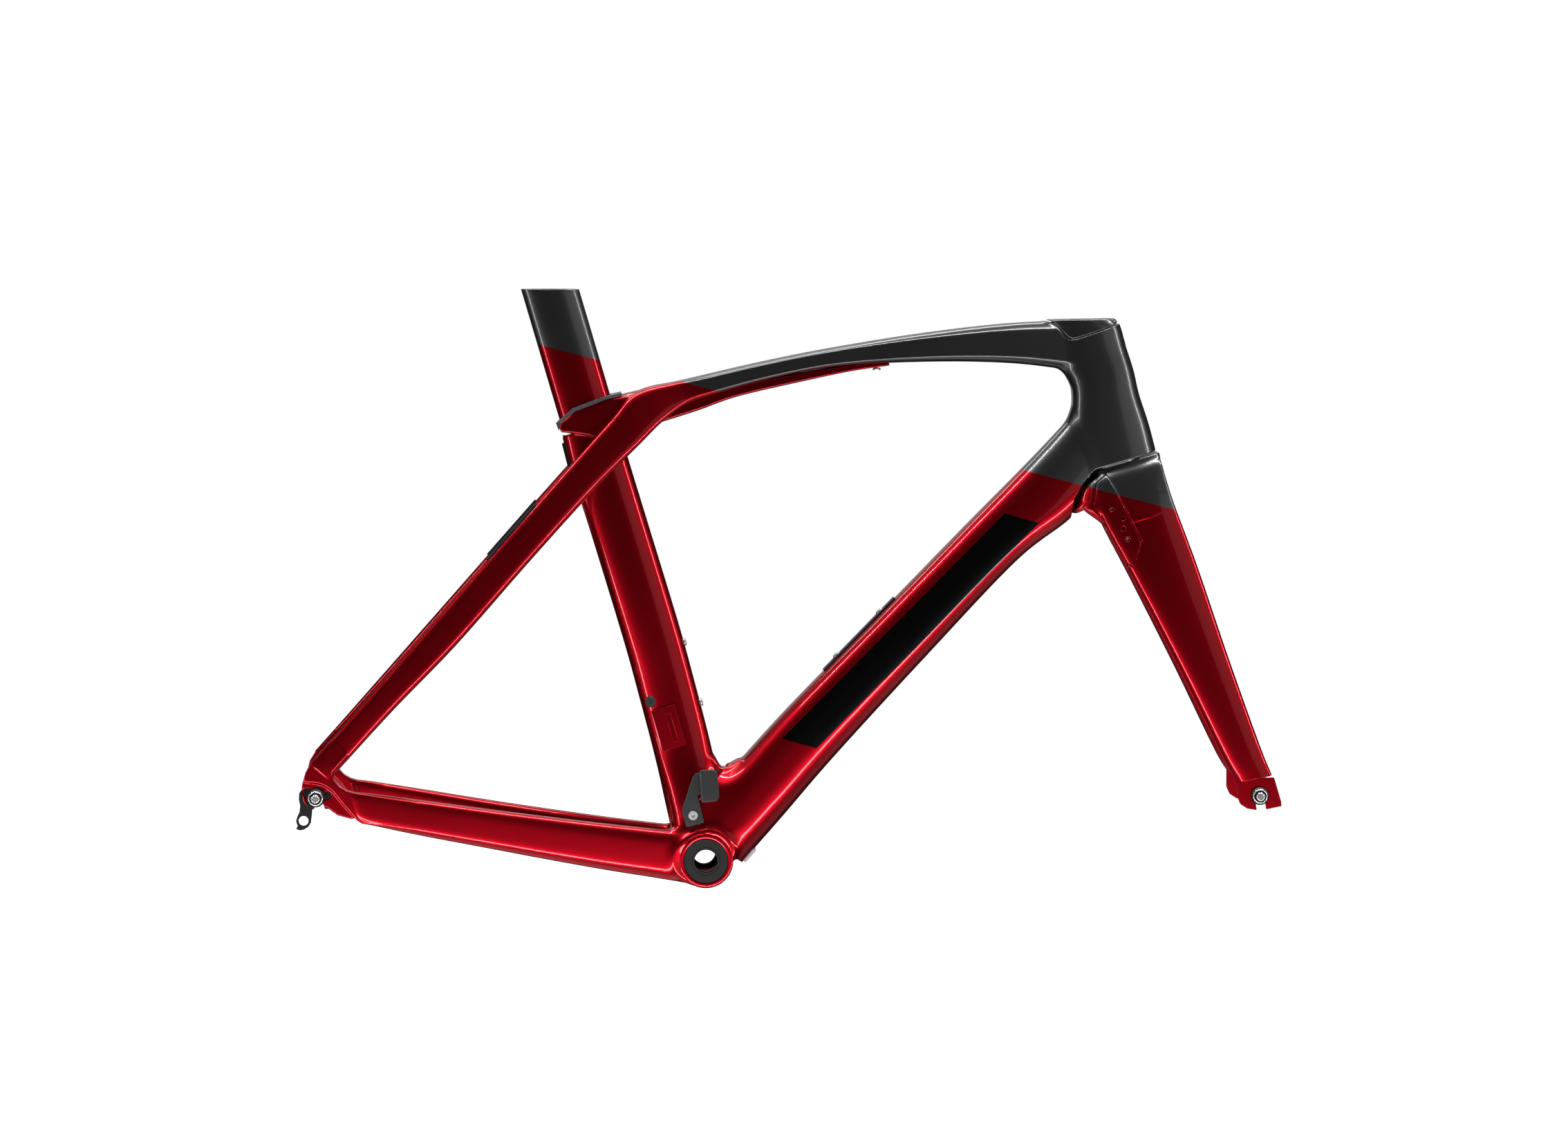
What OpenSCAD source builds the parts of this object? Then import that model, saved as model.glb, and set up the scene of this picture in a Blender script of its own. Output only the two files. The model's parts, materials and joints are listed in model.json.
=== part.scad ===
// Aero road bicycle frameset: frame, fork, sprung seat mast and their hardware.
// Axes: +X forward, +Y to the rider's left, +Z up. Origin: centre of the bottom bracket.

/* [Main triangle] */
// Wall of the big tubes
tube_wall = 2.0; // [1.6:0.1:2.6]
// Width of the down tube at its middle
dt_w = 60; // [54:1:64]
// Width of the seat tube
st_w = 36; // [34:1:38]
// Width of the top tube at its middle
tt_w = 46; // [42:1:50]

/* [Bottom bracket] */
// Outside radius of the bottom bracket shell
bb_r = 29; // [28:0.5:30]
// Length of the shell across the frame
bb_len = 86; // [84:1:88]
// Radius of the spindle that the bearings take
spindle_r = 12.0; // [11.9:0.05:12.1]

/* [Head tube and fork] */
// Head angle above the horizontal
head_angle = 73.5; // [73.3:0.1:73.7]
// Width of the head tube
ht_w = 54; // [52:1:56]
// Outside radius of the steerer
steer_r = 14.3; // [14.2:0.05:14.4]
// Wall of the steerer
steer_wall = 2.8; // [2.4:0.1:3.2]
// Gap between the head tube and the fork crown
crown_gap = 1.6; // [1.4:0.1:2]
// Wall of the fork blades
blade_wall = 1.8; // [1.5:0.1:2.2]

/* [Rear end] */
// Distance between the inner faces of the rear dropouts
old_r = 130; // [130:1:131]
// Thickness of a rear dropout
drop_t = 6; // [5:0.5:7]
// Half width of each wheel slot
slot_r = 5; // [4.8:0.1:5.2]
// Wall of the stays
stay_wall = 1.8; // [1.5:0.1:2.2]

/* [Seat mast] */
// Wall of the mast
mast_wall = 2.2; // [1.8:0.1:2.6]
// Width of the mast
mast_w = 33; // [31:1:34]
// Depth of the mast from front to rear
mast_d = 58; // [57:1:58]
// Room around the mast inside its collar
mast_gap = 1.3; // [1.1:0.1:1.6]

/* [Hidden] */

red = "#8c0812"; grey = "#3b3d40"; black = "#17181a"; steel = "#c9cbce"; alu = "#9a9ca0";
tilt = 90 - head_angle;
axis_pt = [429, 0, 412];          // where the steering axis leaves the crown
front_axle = [576, 0, 69];
rear_axle = [-404, 0, 69];
pivot = [-124, 0, 463.5];         // seat mast pivot
E = 0.05;                         // bond line between mitred tubes
$fn = 64;

// ---- lofted tubes -------------------------------------------------------
// A station is [x, z of one edge, x, z of the opposite edge, centre y, width, squareness].
K_down = [[-12,46, 39,-5, 0,80,2.8],[31,95, 82,44, 0,70,2.8],[86,156, 136,107, 0,62,2.8],
 [180,253, 229,211, 0,dt_w,2.8],[272,348, 322,312, 0,58,2.8],[333,406, 378,357, 0,54,2.7],[372,446, 416,396, 0,48,2.6],[386,464, 432,412, 0,44,2.6]];
K_seat = [[24,30, -32,14, 0,76,2.8],[16,70, -40,54, 0,66,2.6],[6,118, -50,102, 0,43,2.4],[-10,180, -66,164, 0,st_w,2.3],[-28,245, -84,229, 0,st_w,2.3],
 [-62,356, -118,340, 0,st_w,2.3],[-81,418, -138,402, 0,st_w,2.3],[-92,457.2, -147.6,440.8, 0,st_w,2.3]];
K_top = [[-92,483, -84,458, 0,44,2.8],[-24,499, -16,477, 0,tt_w,2.8],[60,518.5, 65,499.5, 0,tt_w,2.8],[133,533, 137,513, 0,tt_w,2.7],
 [225,548, 228,519, 0,48,2.6],[316,558.5, 319,519, 0,47,2.6],[400,562, 400,510, 0,42,2.6]];
K_head = [[470,426, 391,402.7, 0,ht_w,2.4],[462,455, 380,437, 0,ht_w,2.5],[452,485, 381,463, 0,ht_w,2.5],
 [446,510, 379,490, 0,ht_w,2.5],[438,535, 366,511, 0,50,2.5],[432,556, 364,540, 0,48,2.5],[426,564, 358,560, 0,46,2.5]];
K_beam = [[-78,457, -74,446, 0,20,3],[-14,476, -11,466, 0,22,3],[30,491, 33,481.5, 0,22,3],[97,506.5, 99,497, 0,22,3],[150,515, 151,508, 0,22,3],[190,518.5, 191,514, 0,20,3]];
K_sstay = [[-408,106, -388,89, 67,10,2.6],[-345,178, -324,159, 61,13,2.4],[-284,248, -259,226, 53,14,2.4],[-210,333, -185,310, 43,14,2.4],
 [-144,408, -117,385, 34.5,15,2.4],[-100,457, -72,432, 28,15,2.4],[-62,486, -38,457, 22,13,2.4],[-20,497, -8,471, 18,9,2.4]];
K_cstay = [[-347,83.5, -339,40, 64,14,2.6],[-216,62, -210,13, 47,19,2.6],[-120,49, -114,-6, 37,20,2.6],
 [-60,42, -52,-17, 32.5,20,2.6],[-4,30, 0,-27, 31,20,2.6]];
K_crown = [[470.5,424, 399.5,403, 0,52,2.3],[474.5,413, 389.5,388, 0,57,2.3],[479,400.5, 384,372.5, 0,63,2.3],[482.5,389.5, 383.5,360, 0,69,2.4],[489.5,367.5, 417,346, 0,80,2.5]];
K_blade = [[489.5,367.5, 417,346, 32,16,2.4],[514,306, 448,290, 37.5,17,2.3],[546,212, 497,196, 44,16,2.3],[577,122, 539,110, 50,14,2.3],[589,90, 554,83, 52.5,11,2.5]];
K_clus = [[-76,422, -151,438, 0,42,3],[-76,500, -160,470, 0,42,3]];
K_cheek = [[474.4,412.6, 402,391, 20,12,2.6],[482,390, 409,368, 26.5,15,2.6],[489.5,367.5, 417,346, 32,16,2.4]];

function sp(v, e) = sign(v) * pow(abs(v), e);
function ring(s, t, n) = let (mx = (s[0]+s[2])/2, mz = (s[1]+s[3])/2, hx = (s[0]-s[2])/2, hz = (s[1]-s[3])/2,
    L = norm([hx, hz]), k = (L-t)/L, q = s[5]/2 - t)
  [for (i = [0:n-1]) let (a = 360*i/n, c = sp(cos(a), 2/s[6]), d = sp(sin(a), 2/s[6])) [mx + hx*k*c, s[4] + q*d, mz + hz*k*c]];
function cr(a, b, c, d, t) = 0.5*(2*b + (c-a)*t + (2*a-5*b+4*c-d)*t*t + (3*b-a-3*c+d)*t*t*t);
function key(K, i) = i < 0 ? 2*K[0]-K[1] : i >= len(K) ? 2*K[len(K)-1]-K[len(K)-2] : K[i];
function fine(K, m) = concat([for (i = [0:len(K)-2]) for (j = [0:m-1]) cr(key(K,i-1), K[i], K[i+1], key(K,i+2), j/m)], [K[len(K)-1]]);
function flat(l) = [for (a = l) for (b = a) b];
function mid(s) = [(s[0]+s[2])/2, s[4], (s[1]+s[3])/2];
// +1 when the rings run right-handed about the way along the tube
function hand(K) = cross([K[0][0]-K[0][2], 0, K[0][1]-K[0][3]], [0,1,0]) * (mid(K[1]) - mid(K[0])) > 0 ? 1 : -1;
function turn(f, h) = h > 0 ? f : [for (i = [len(f)-1:-1:0]) f[i]];

module loft(K, wall = 0, m = 2, n = 24, grow = 0) {
  S = fine(K, m);
  c = len(S);
  h = hand(K);
  outer = flat([for (s = S) ring(s, -grow, n)]);
  inner = wall > 0 ? flat([for (s = S) ring(s, wall, n)]) : [];
  o = c*n;
  side = [for (k = [0:c-2]) for (i = [0:n-1]) let (j = (i+1)%n, a = k*n+i, b = k*n+j, d = (k+1)*n+i, e = (k+1)*n+j) each [[a,d,e],[a,e,b]]];
  skin = [for (f = side) [f[2]+o, f[1]+o, f[0]+o]];
  ends = wall > 0
    ? [for (i = [0:n-1]) let (j = (i+1)%n, z = (c-1)*n) each [[i,j,o+j],[i,o+j,o+i],[z+j,z+i,o+z+i],[z+j,o+z+i,o+z+j]]]
    : [[for (i = [0:n-1]) i], [for (i = [n-1:-1:0]) (c-1)*n+i]];
  polyhedron(concat(outer, inner), [for (f = concat(side, wall > 0 ? skin : [], ends)) turn(f, h)], convexity = 8);
}
// keeps a mitred tube as one closed skin
module skin() resize([0,0,0]) children();
module steer() translate(axis_pt) rotate([0, -tilt, 0]) children();
module mast() translate(pivot) rotate([0, -tilt, 0]) children();
module across(y0, y1) rotate([90,0,0]) translate([0,0,-y1]) linear_extrude(y1-y0) children();  // XZ outline between two y
module barrel(x, z, r, y0, y1) translate([x, y0, z]) rotate([-90,0,0]) cylinder(r = r, h = y1-y0);
module left_right(s) mirror([0, s < 0 ? 1 : 0, 0]) children();

// ---- shared envelopes ----------------------------------------------------
module mast_solid(g, lo, hi) mast() translate([0,0,lo]) linear_extrude(hi-lo)
  polygon([for (i = [0:35]) [(mast_d/2+g)*sp(cos(10*i), 2/2.3), (mast_w/2+g)*sp(sin(10*i), 2/2.3)]]);
// swept room that the fork crown needs when it turns
module fork_room() steer() rotate_extrude() polygon([[0,crown_gap],[32,crown_gap],[34,1],[46,-9],[57,-21],[60.5,-30],[61.5,-37],[61.5,-190],[0,-190]]);
module cover_line() across(-60, 60) polygon([[340,561.2],[361,559],[366,556],[374.5,543.5],[379,541.2],[383,541.6],[410,550.3],[428.2,557.6],[450,566],[450,590],[340,590]]);
module head_solid(g = 0) loft(K_head, m = 2, n = 28, grow = g);
module bb_env() barrel(0, 0, bb_r + E, -60, 60);
module drop_outline() polygon([[-408,106],[-388,89],[-379.5,98],[-368,89],[-360,85.5],[-347,83.5],[-339,40],[-348,40.5],[-363,45],[-380,48.8],[-386,53.5],[-397,54],[-409,57],[-416,61],[-418.5,83],[-415,94]]);
module drop_shoulder() polygon([[-388,89],[-379.5,98],[-368,89],[-360,85.5],[-347,83.5],[-339,40],[-348,40.5],[-363,45],[-374,58],[-376,76]]);
bolt_xz = [[-413.5,75.3],[-392.2,71.7]];          // hanger bolts
bottle_dt = [[138.4,210.3],[183,256.1]];             // bottle bolts on the down tube
bottle_st = [[-5.3,162],[-22.7,225]];        // bottle bolts on the seat tube
screw_xz = [[421.2,366],[438,335.4]];            // screws of a brake cover
module drop_slot(p, lean, y0, y1) { barrel(p[0], p[2], slot_r + 0.15, y0, y1);
  translate([p[0], 0, p[2]]) rotate([0,lean,0]) translate([-slot_r, y0, -30]) cube([2*slot_r, y1-y0, 30]); }

// ---- frame ---------------------------------------------------------------
module head_tube() color(grey) difference() {
  skin() difference() { head_solid(); cover_line(); fork_room(); }
  steer() { translate([30,0,121]) rotate([0,90,0]) cylinder(r = 7.05, h = 30); translate([0,0,-1]) cylinder(r = 26.05, h = crown_gap + 9); cylinder(r = 20.6, h = 170);
    translate([0,0,124]) cylinder(r = 21.05, h = 60); }
}
module top_tube() color(grey) skin() difference() {
  loft(K_top, tube_wall, m = 3);
  head_solid(E); cover_line(); loft(K_clus, m = 1, grow = E);
  mast_solid(mast_gap, -20, 60);
  // channel for the slider under the tube
  translate([48,0,494.5]) rotate([0,-12.9,0]) cube([72,13,8], center = true);
  translate([178,0,505]) cylinder(r = 2.6, h = 16, $fn = 24);
}
module down_tube() color(red) skin() difference() {
  loft(K_down, tube_wall, m = 2);
  head_solid(E); bb_env(); loft(K_seat, m = 2, grow = E); fork_room(); steer() translate([0,0,-1]) cylinder(r = 30, h = 80);
  for (p = bottle_dt) translate([p[0],0,p[1]]) rotate([0,-45.9,0]) translate([0,0,-12]) cylinder(r = 2.6, h = 30, $fn = 24);
}
module seat_tube() color(red) skin() difference() {
  union() { loft(K_seat, tube_wall, m = 2); barrel(-13.4, 47.6, 6.5, -36.6, -31.5, $fn = 32); }
  bb_env();
  barrel(-13.4, 47.6, 2.6, -60, -15, $fn = 24);
  barrel(-57, 164, 6.05, -30, -5, $fn = 32);
  for (p = bottle_st) translate([p[0],0,p[1]]) rotate([0,73.5,0]) translate([0,0,-12]) cylinder(r = 2.5, h = 30, $fn = 24);
}
module bb_shell() color(red) difference() {
  barrel(0, 0, bb_r, -bb_len/2, bb_len/2);
  barrel(0, 0, 16.8, -60, 60);
  for (s = [-1,1]) barrel(0, 0, 18.5, s > 0 ? bb_len/2-7.5 : -60, s > 0 ? 60 : -bb_len/2+7.5);
}
module seat_cluster() color(red) difference() {
  skin() difference() {
    intersection() { loft(K_clus, m = 1, n = 28);
      across(-60,60) polygon([[-153,446],[-118,440],[-74,425],[-74,484],[-104,479],[-136,466.5],[-150,455.5]]); }
    mast_solid(mast_gap, -15.5, 60);
    loft(K_seat, m = 2, grow = E);
  }
  barrel(pivot[0], pivot[2], 6, -40, 40);
}
module chainstay(s) color(red) left_right(s) skin() difference() {
  loft(K_cstay, stay_wall, m = 2, n = 20);
  bb_env();
  loft(K_down, m = 2, grow = E);
  loft(K_seat, m = 2, grow = E);
}
module chainstay_left() chainstay(1);
module chainstay_right() chainstay(-1);
module seatstay(s) color(red) left_right(s) skin() difference() {
  loft(K_sstay, stay_wall, m = 2, n = 20);
  loft(K_clus, m = 1, grow = E); loft(K_top, m = 3, grow = E); mast_solid(mast_gap, -20, 60);
  loft(K_seat, m = 2, grow = E);
  across(55, 80) offset(E) drop_outline();
}
module seatstay_left() seatstay(1);
module seatstay_right() seatstay(-1);
module rear_dropout_left() color(red) difference() {
  union() { across(old_r/2, old_r/2+drop_t) drop_outline(); across(57, old_r/2) drop_shoulder(); }
  drop_slot(rear_axle, -20, 50, 80);
}
// the right dropout is a frame round the hanger's lobe
module hanger_lobe(g) { translate([rear_axle[0], rear_axle[2]]) circle(r = 10.2+g); for (p = bolt_xz) translate(p) circle(r = 3.8+g); }
module rear_dropout_right() color(red) difference() {
  union() { across(-old_r/2-drop_t-1, -old_r/2-3.1) drop_outline(); across(-old_r/2-3.1, -57) drop_shoulder(); }
  across(-80, -67) hanger_lobe(E);
  drop_slot(rear_axle, -20, -80, -50);
}
// replaceable hanger: a plate inside the right dropout, with a lobe that fills its window
module derailleur_hanger() color(black) difference() {
  union() {
    across(-old_r/2-3, -old_r/2) union() {
      polygon([[-421,80],[-414,90],[-398,90],[-385,80],[-382,66],[-388,57],[-398,54.5],[-407,57],[-409.5,48],[-409,43],[-424,43],[-423,48],[-421,60]]);
      translate([-416.5,45]) circle(r = 8.4);
      polygon([[-424.8,36],[-417,36.6],[-411,39],[-414,44],[-424,44]]);
    }
    across(-old_r/2-drop_t-1, -old_r/2-3) intersection() { hanger_lobe(0); translate([-430,55.5]) square([60,60]); }
  }
  barrel(-416.5, 45, 5.0, -80, -60);
  drop_slot(rear_axle, -20, -80, -50);
  for (p = bolt_xz) { barrel(p[0], p[1], 1.6, -80, -60); barrel(p[0], p[1], 2.7, -80, -old_r/2-drop_t+0.6); }
}
module hanger_bolts() color(steel) for (p = bolt_xz) difference() {
  union() { barrel(p[0], p[1], 1.5, -old_r/2-drop_t+0.5, -old_r/2); barrel(p[0], p[1], 2.6, -old_r/2-drop_t-1, -old_r/2-drop_t+0.5); }
  translate([p[0],-74,p[1]]) rotate([-90,0,0]) cylinder(r = 1.3, h = 3, $fn = 6);
}
module flex_beam() color(red) difference() {
  skin() difference() { loft(K_beam, m = 3, n = 20); loft(K_clus, m = 1, grow = E); loft(K_top, m = 3, grow = 0.3);
    translate([48,0,496.4]) rotate([0,-12.9,0]) cube([72,13.5,10.4], center = true); }
  translate([178,0,500]) cylinder(r = 2.7, h = 30);
}
module beam_bolt() color(steel) translate([178,0,0]) union() {
  translate([0,0,511.5]) rotate_extrude() polygon([[0,0],[3.4,0],[4.4,-1],[4.0,-2.2],[0,-2.2]]);
  translate([0,0,511.4]) cylinder(r = 2.5, h = 7);
}
module flex_slider() color(black) translate([48,0,494.8]) rotate([0,-12.9,0]) difference() {
  cube([22,12,6.4], center = true);
  translate([0,0,-5]) cylinder(r = 2, h = 10);
  for (x = [-8,8]) translate([x,0,-3.2]) cube([1,13,0.8], center = true);
}
module mast_collar() color(grey) skin() difference() {
  intersection() { loft(K_clus, m = 1, n = 28, grow = 1);
    across(-60,60) polygon([[-153.2,446],[-156,453.5],[-139,469.6],[-105,482.2],[-88,486],[-88,482.3],[-104,479.1],[-136,466.6],[-150.1,455.6]]); }
  mast_solid(mast_gap-0.2, -30, 60); loft(K_top, m = 3, grow = E);
}
module mast_pivot_axle() color(steel) difference() {
  barrel(pivot[0], pivot[2], 5.95, -20.4, 20.4);
  barrel(pivot[0], pivot[2], 3, -21, -12);
  barrel(pivot[0], pivot[2], 3, 12, 21);
}
module rear_brake_plate() color(black) skin() for (s = [-1,1]) left_right(s) difference() {
  hull() { translate([-226.2,45,313.6]) rotate([0,-49,0]) cube([2,8,3.6], center = true); translate([-177.2,38.5,369.8]) rotate([0,-49,0]) cube([2,8,3.6], center = true); }
  loft(K_sstay, m = 2, n = 20, grow = E);
}
module rear_cable_port() color(black) skin() difference() {
  translate([-143.6,0,420.5]) rotate([0,-14.5,0]) cube([6.4,12,26], center = true);
  loft(K_seat, m = 2, grow = E);
}
module head_port_plug() color(black) steer() translate([42.4,0,121]) rotate([0,90,0]) rotate_extrude() polygon([[0,-5],[7,-5],[7,0.3],[5.6,1.2],[0,1.5]]);
module top_cover() color(grey) difference() {
  skin() intersection() { union() { head_solid(); loft([K_top[5], K_top[6]], m = 1, n = 24); }
    across(-60,60) polygon([[353.5,561.6],[362,559.6],[367,556.4],[375.3,544],[379.3,541.8],[383,542.2],[410,550.9],[427.5,558],[450,567],[450,590],[340,590]]); }
  steer() translate([0,0,-1]) cylinder(r = steer_r + 0.6, h = 200);
}
module control_cover() color(black) difference() {
  translate([161.2,0,232.9]) rotate([0,-45.9,0]) cube([106,18,4], center = true);
  for (p = bottle_dt) translate([p[0],0,p[1]]) rotate([0,-45.9,0]) translate([0,0,-20]) cylinder(r = 2.7, h = 40);
  skin() loft(K_down, m = 2, grow = E);
}
module bottle_bolts() color(steel) for (p = bottle_dt) translate([p[0],0,p[1]]) rotate([0,-45.9,0])
  rotate_extrude() polygon([[0,-8],[2.5,-8],[2.5,1.8],[4.6,1.8],[4.4,2.7],[3.2,3.6],[1.6,3.8],[1.6,2.2],[0,2.2]]);
module seat_tube_bottle_bolts() color(steel) for (p = bottle_st) translate([p[0],0,p[1]]) rotate([0,73.5,0])
  rotate_extrude() polygon([[0,-7],[2.4,-7],[2.4,0.4],[4.4,0.4],[4.1,1.9],[3,2.7],[1.6,2.9],[1.6,1.4],[0,1.4]]);
module derailleur_mount_insert() color(red) skin() difference() {
  translate([-38.5,-18.6,137]) rotate([0,-17,0]) cube([25,6.5,44], center = true);
  loft(K_seat, m = 2, grow = E);
  translate([-35,-22,137]) rotate([0,-17,0]) cube([5,4,30], center = true);
}
module rubber_plug() color(black) translate([-57,0,164]) rotate([90,0,0]) rotate_extrude() polygon([[0,10],[6,10],[6,15.6],[4.9,16.6],[2.2,16.9],[2.2,16.2],[0,16.2]]);
module bb_port_cover() color("#d8d8d6") difference() {
  translate([46.5,0,2.2]) rotate([0,-48.7,0]) cube([17,22,4], center = true);
  bb_env();
  loft(K_down, m = 2, grow = E);
}
// chain keeper: arm and guard shoe, turned about its bolt to set it
module chain_keeper() color(black) difference() {
  union() {
    across(-40.6, -37) polygon([[-7,91.5],[-11.3,91.4],[-13.8,88],[-24.7,54.5],[-24.7,50],[-20.5,35.5],[-18,35.3],[-2.2,40],[-2.2,42.6],[-8,67.6],[-5.5,71.5]]);
    across(-46.5, -38.8) offset(1.5) polygon([[-5.6,93.5],[8.4,93.8],[10.5,91.5],[12.3,68],[10,64.2],[-3.5,62.5]]);
  }
  barrel(-13.4, 47.6, 2.55, -60, -30);
}
module chain_keeper_bolt() color(steel) difference() {
  union() { barrel(-13.4, 47.6, 2.5, -40.9, -26); barrel(-13.4, 47.6, 4.8, -43.6, -40.9); }
  translate([-13.4,-44.2,47.6]) rotate([-90,0,0]) cylinder(r = 2, h = 2.4, $fn = 6);
}

// ---- bottom bracket bearings ---------------------------------------------
module bearing_ring(r0, r1, y0, y1) for (s = [-1,1]) difference() {
  barrel(0, 0, r1, s > 0 ? y0 : -y1, s > 0 ? y1 : -y0);
  barrel(0, 0, r0, -60, 60);
}
module bb_outer_races() color(steel) bearing_ring(16.6, 18.5, bb_len/2-7.5, bb_len/2);
module bb_seals() color(black) bearing_ring(14.4, 22.6, bb_len/2, bb_len/2+2);
module bb_balls() color(steel) for (s = [-1,1]) for (i = [0:10]) rotate([0, i*360/11, 0]) translate([15.4, s*(bb_len/2-3.8), 0]) sphere(r = 1.1, $fn = 24);
module bb_inner(s) color(steel) difference() {
  union() { barrel(0, 0, 14.2, s > 0 ? bb_len/2-7.5 : -bb_len/2-2.6, s > 0 ? bb_len/2+2.6 : -bb_len/2+7.5); }
  barrel(0, 0, spindle_r, -60, 60);
}
module bb_inner_race_left() bb_inner(1);
module bb_inner_race_right() bb_inner(-1);

// ---- headset and fork ------------------------------------------------------
module upper_headset_bearing() color(steel) steer() translate([0,0,124]) difference() { cylinder(r = 21, h = 7); translate([0,0,-1]) cylinder(r = 16.05, h = 9); }
module lower_headset_bearing() color(steel) steer() translate([0,0,crown_gap+1]) difference() { cylinder(r = 26, h = 7); translate([0,0,-1]) cylinder(r = 19.95, h = 9); }
module steerer() color(black) steer() difference() {
  rotate_extrude() polygon([[0,-26],[19,-26],[19,12],[steer_r,46],[steer_r,136],[0,136]]);
  translate([0,0,-20]) cylinder(r = steer_r-steer_wall, h = 200);
}
module crown_race() color(steel) steer() rotate_extrude() polygon([[19.05,0],[24,0],[24,crown_gap+0.4],[21,crown_gap+0.4],[19.9,crown_gap+1],[19.9,crown_gap+7],[19.05,crown_gap+7]]);
module compression_ring() color(alu) steer() rotate_extrude() polygon([[steer_r+0.05,124],[16,124],[16,131],[18.5,132],[18.5,133.4],[steer_r+0.05,133.4]]);
// slanted slab that splits a side cover from the crown and blade
module cover_slab(s, g) left_right(s) translate([430,24-g,412]) rotate([7.5,0,0]) translate([-430,0,-412]) across(0, 40)
  offset(g) polygon([[414,406.6],[427,384],[450,338],[452,333],[443.6,307.5],[424,318],[380,352],[384,368],[397,402.5]]);
module blade_env(s) left_right(s) loft(K_blade, m = 2, n = 20);
module wheel_room() barrel(front_axle[0], front_axle[2], 347, -23.5, 23.5);
module fork_crown() color(grey) difference() {
  skin() difference() { union() { loft(K_crown, m = 2, n = 28); for (s = [-1,1]) left_right(s) loft(K_cheek, m = 3, n = 20); } wheel_room(); for (s = [-1,1]) { cover_slab(s, E); for (p = screw_xz) left_right(s) barrel(p[0], p[1], 1.7, 20, 60, $fn = 24); } }
  steer() translate([0,0,-26]) cylinder(r = 19.05, h = 40);
}
module front_tip_outline() polygon([[552.6,86],[552.6,68],[556,60],[563,55.5],[572,54],[582,54.4],[599,58],[598.5,63],[591,88]]);
module fork_blade(s) color(red) left_right(s) skin() difference() {
  loft(K_blade, blade_wall, m = 2, n = 20);
  cover_slab(1, E);
  for (p = screw_xz) barrel(p[0], p[1], 1.7, 20, 60, $fn = 24);
  across(50-E, 56+E) offset(E) front_tip_outline();
}
module fork_blade_left() fork_blade(1);
module fork_blade_right() fork_blade(-1);
module front_dropout(s) color(red) left_right(s) difference() {
  across(50, 56) front_tip_outline();
  drop_slot(front_axle, -8, 40, 60);
}
module front_dropout_left() front_dropout(1);
module front_dropout_right() front_dropout(-1);
module brake_cover(s) color(s > 0 ? grey : grey) difference() {
  skin() intersection() { union() { loft(K_crown, m = 2, n = 28); left_right(s) loft(K_cheek, m = 3, n = 20); blade_env(s); } cover_slab(s, 0); }
  left_right(s) { barrel(421.2, 366, 1.7, 20, 60); barrel(433.3, 356.4, 1.7, 20, 60); barrel(438, 335.4, 2.3, 20, 60); barrel(433.6, 346, 2.3, 20, 60); }
}
module brake_cover_left() brake_cover(1);
module brake_cover_right() brake_cover(-1);
module brake_cover_screws() color(steel) for (s = [-1,1]) left_right(s) for (p = screw_xz) barrel(p[0], p[1], 1.6, 28, p[1] > 350 ? 33 : 38);

// ---- seat mast ---------------------------------------------------------------
module mast_outline(g) polygon([for (i = [0:35]) [(mast_d/2-g)*sp(cos(10*i), 2/2.3), (mast_w/2-g)*sp(sin(10*i), 2/2.3)]]);
module seat_mast() color(grey) difference() {
  mast() translate([0,0,-12]) linear_extrude(170) difference() { mast_outline(0); mast_outline(mast_wall); }
  translate([-300,-50,593]) cube([300,100,60]);
  barrel(pivot[0], pivot[2], 9, -40, 40);
}
module mast_pivot_tube() color(alu) difference() {
  intersection() { barrel(pivot[0], pivot[2], 9, -16.3, 16.3); }
  barrel(pivot[0], pivot[2], 6.0, -40, 40);
}

// ---- quick-release skewers ------------------------------------------------------
module skewer_rod(p, y0, y1) color(steel) barrel(p[0], p[2], 2.5, y0, y1);
module skewer_nut(p, y) color(steel) translate([p[0], y, p[2]]) rotate([90,0,0]) difference() {
  rotate_extrude() polygon([[2.6,0],[9.5,0],[9.5,2.4],[8,3.4],[7.6,6],[6.6,7],[6.6,9],[5.2,11],[2.6,11]]);
  for (i = [0:11]) rotate([0,0,30*i]) translate([9.9,0,-1]) cylinder(r = 1, h = 3.6);
}
module skewer_head(p, y, lean) color(alu) difference() {
  barrel(p[0], p[2], 8, y, y+14);
  barrel(p[0], p[2], 2.5, y-6, y+4);
  translate([p[0], 0, p[2]]) rotate([0,lean,0]) { translate([-3.4, y+2, -9]) cube([6.8, 20, 18]); translate([-20, y+9, 0]) rotate([0,90,0]) cylinder(r = 2.05, h = 40); }
}
module front_skewer() union() { skewer_rod(front_axle, -67.4, 58); skewer_head(front_axle, 56, -21); }
module front_skewer_nut() skewer_nut(front_axle, -56);
module lever(p, y, lean) color(alu) translate([p[0], y, p[2]]) rotate([0,lean,0]) union() {
  translate([-9.5,0,0]) rotate([0,90,0]) cylinder(r = 2, h = 19);
  translate([-3.1,0,0]) rotate([0,90,0]) cylinder(r = 5.6, h = 6.2);
  translate([-3.1,1,0]) rotate([4,0,0]) cube([6.2,4.4,22]);
  hull() { translate([-3.1,3.4,20]) cube([6.2,3.6,4]); translate([-6.5,4.6,58]) cube([13,3.4,3]); }
}
module front_skewer_lever() lever(front_axle, 65, -21);
module rear_skewer() union() { skewer_rod(rear_axle, -83.4, 73); skewer_head(rear_axle, old_r/2+drop_t, 31); }
module rear_skewer_nut() skewer_nut(rear_axle, -old_r/2-drop_t-1);
module rear_skewer_lever() lever(rear_axle, 80, 31);

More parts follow.
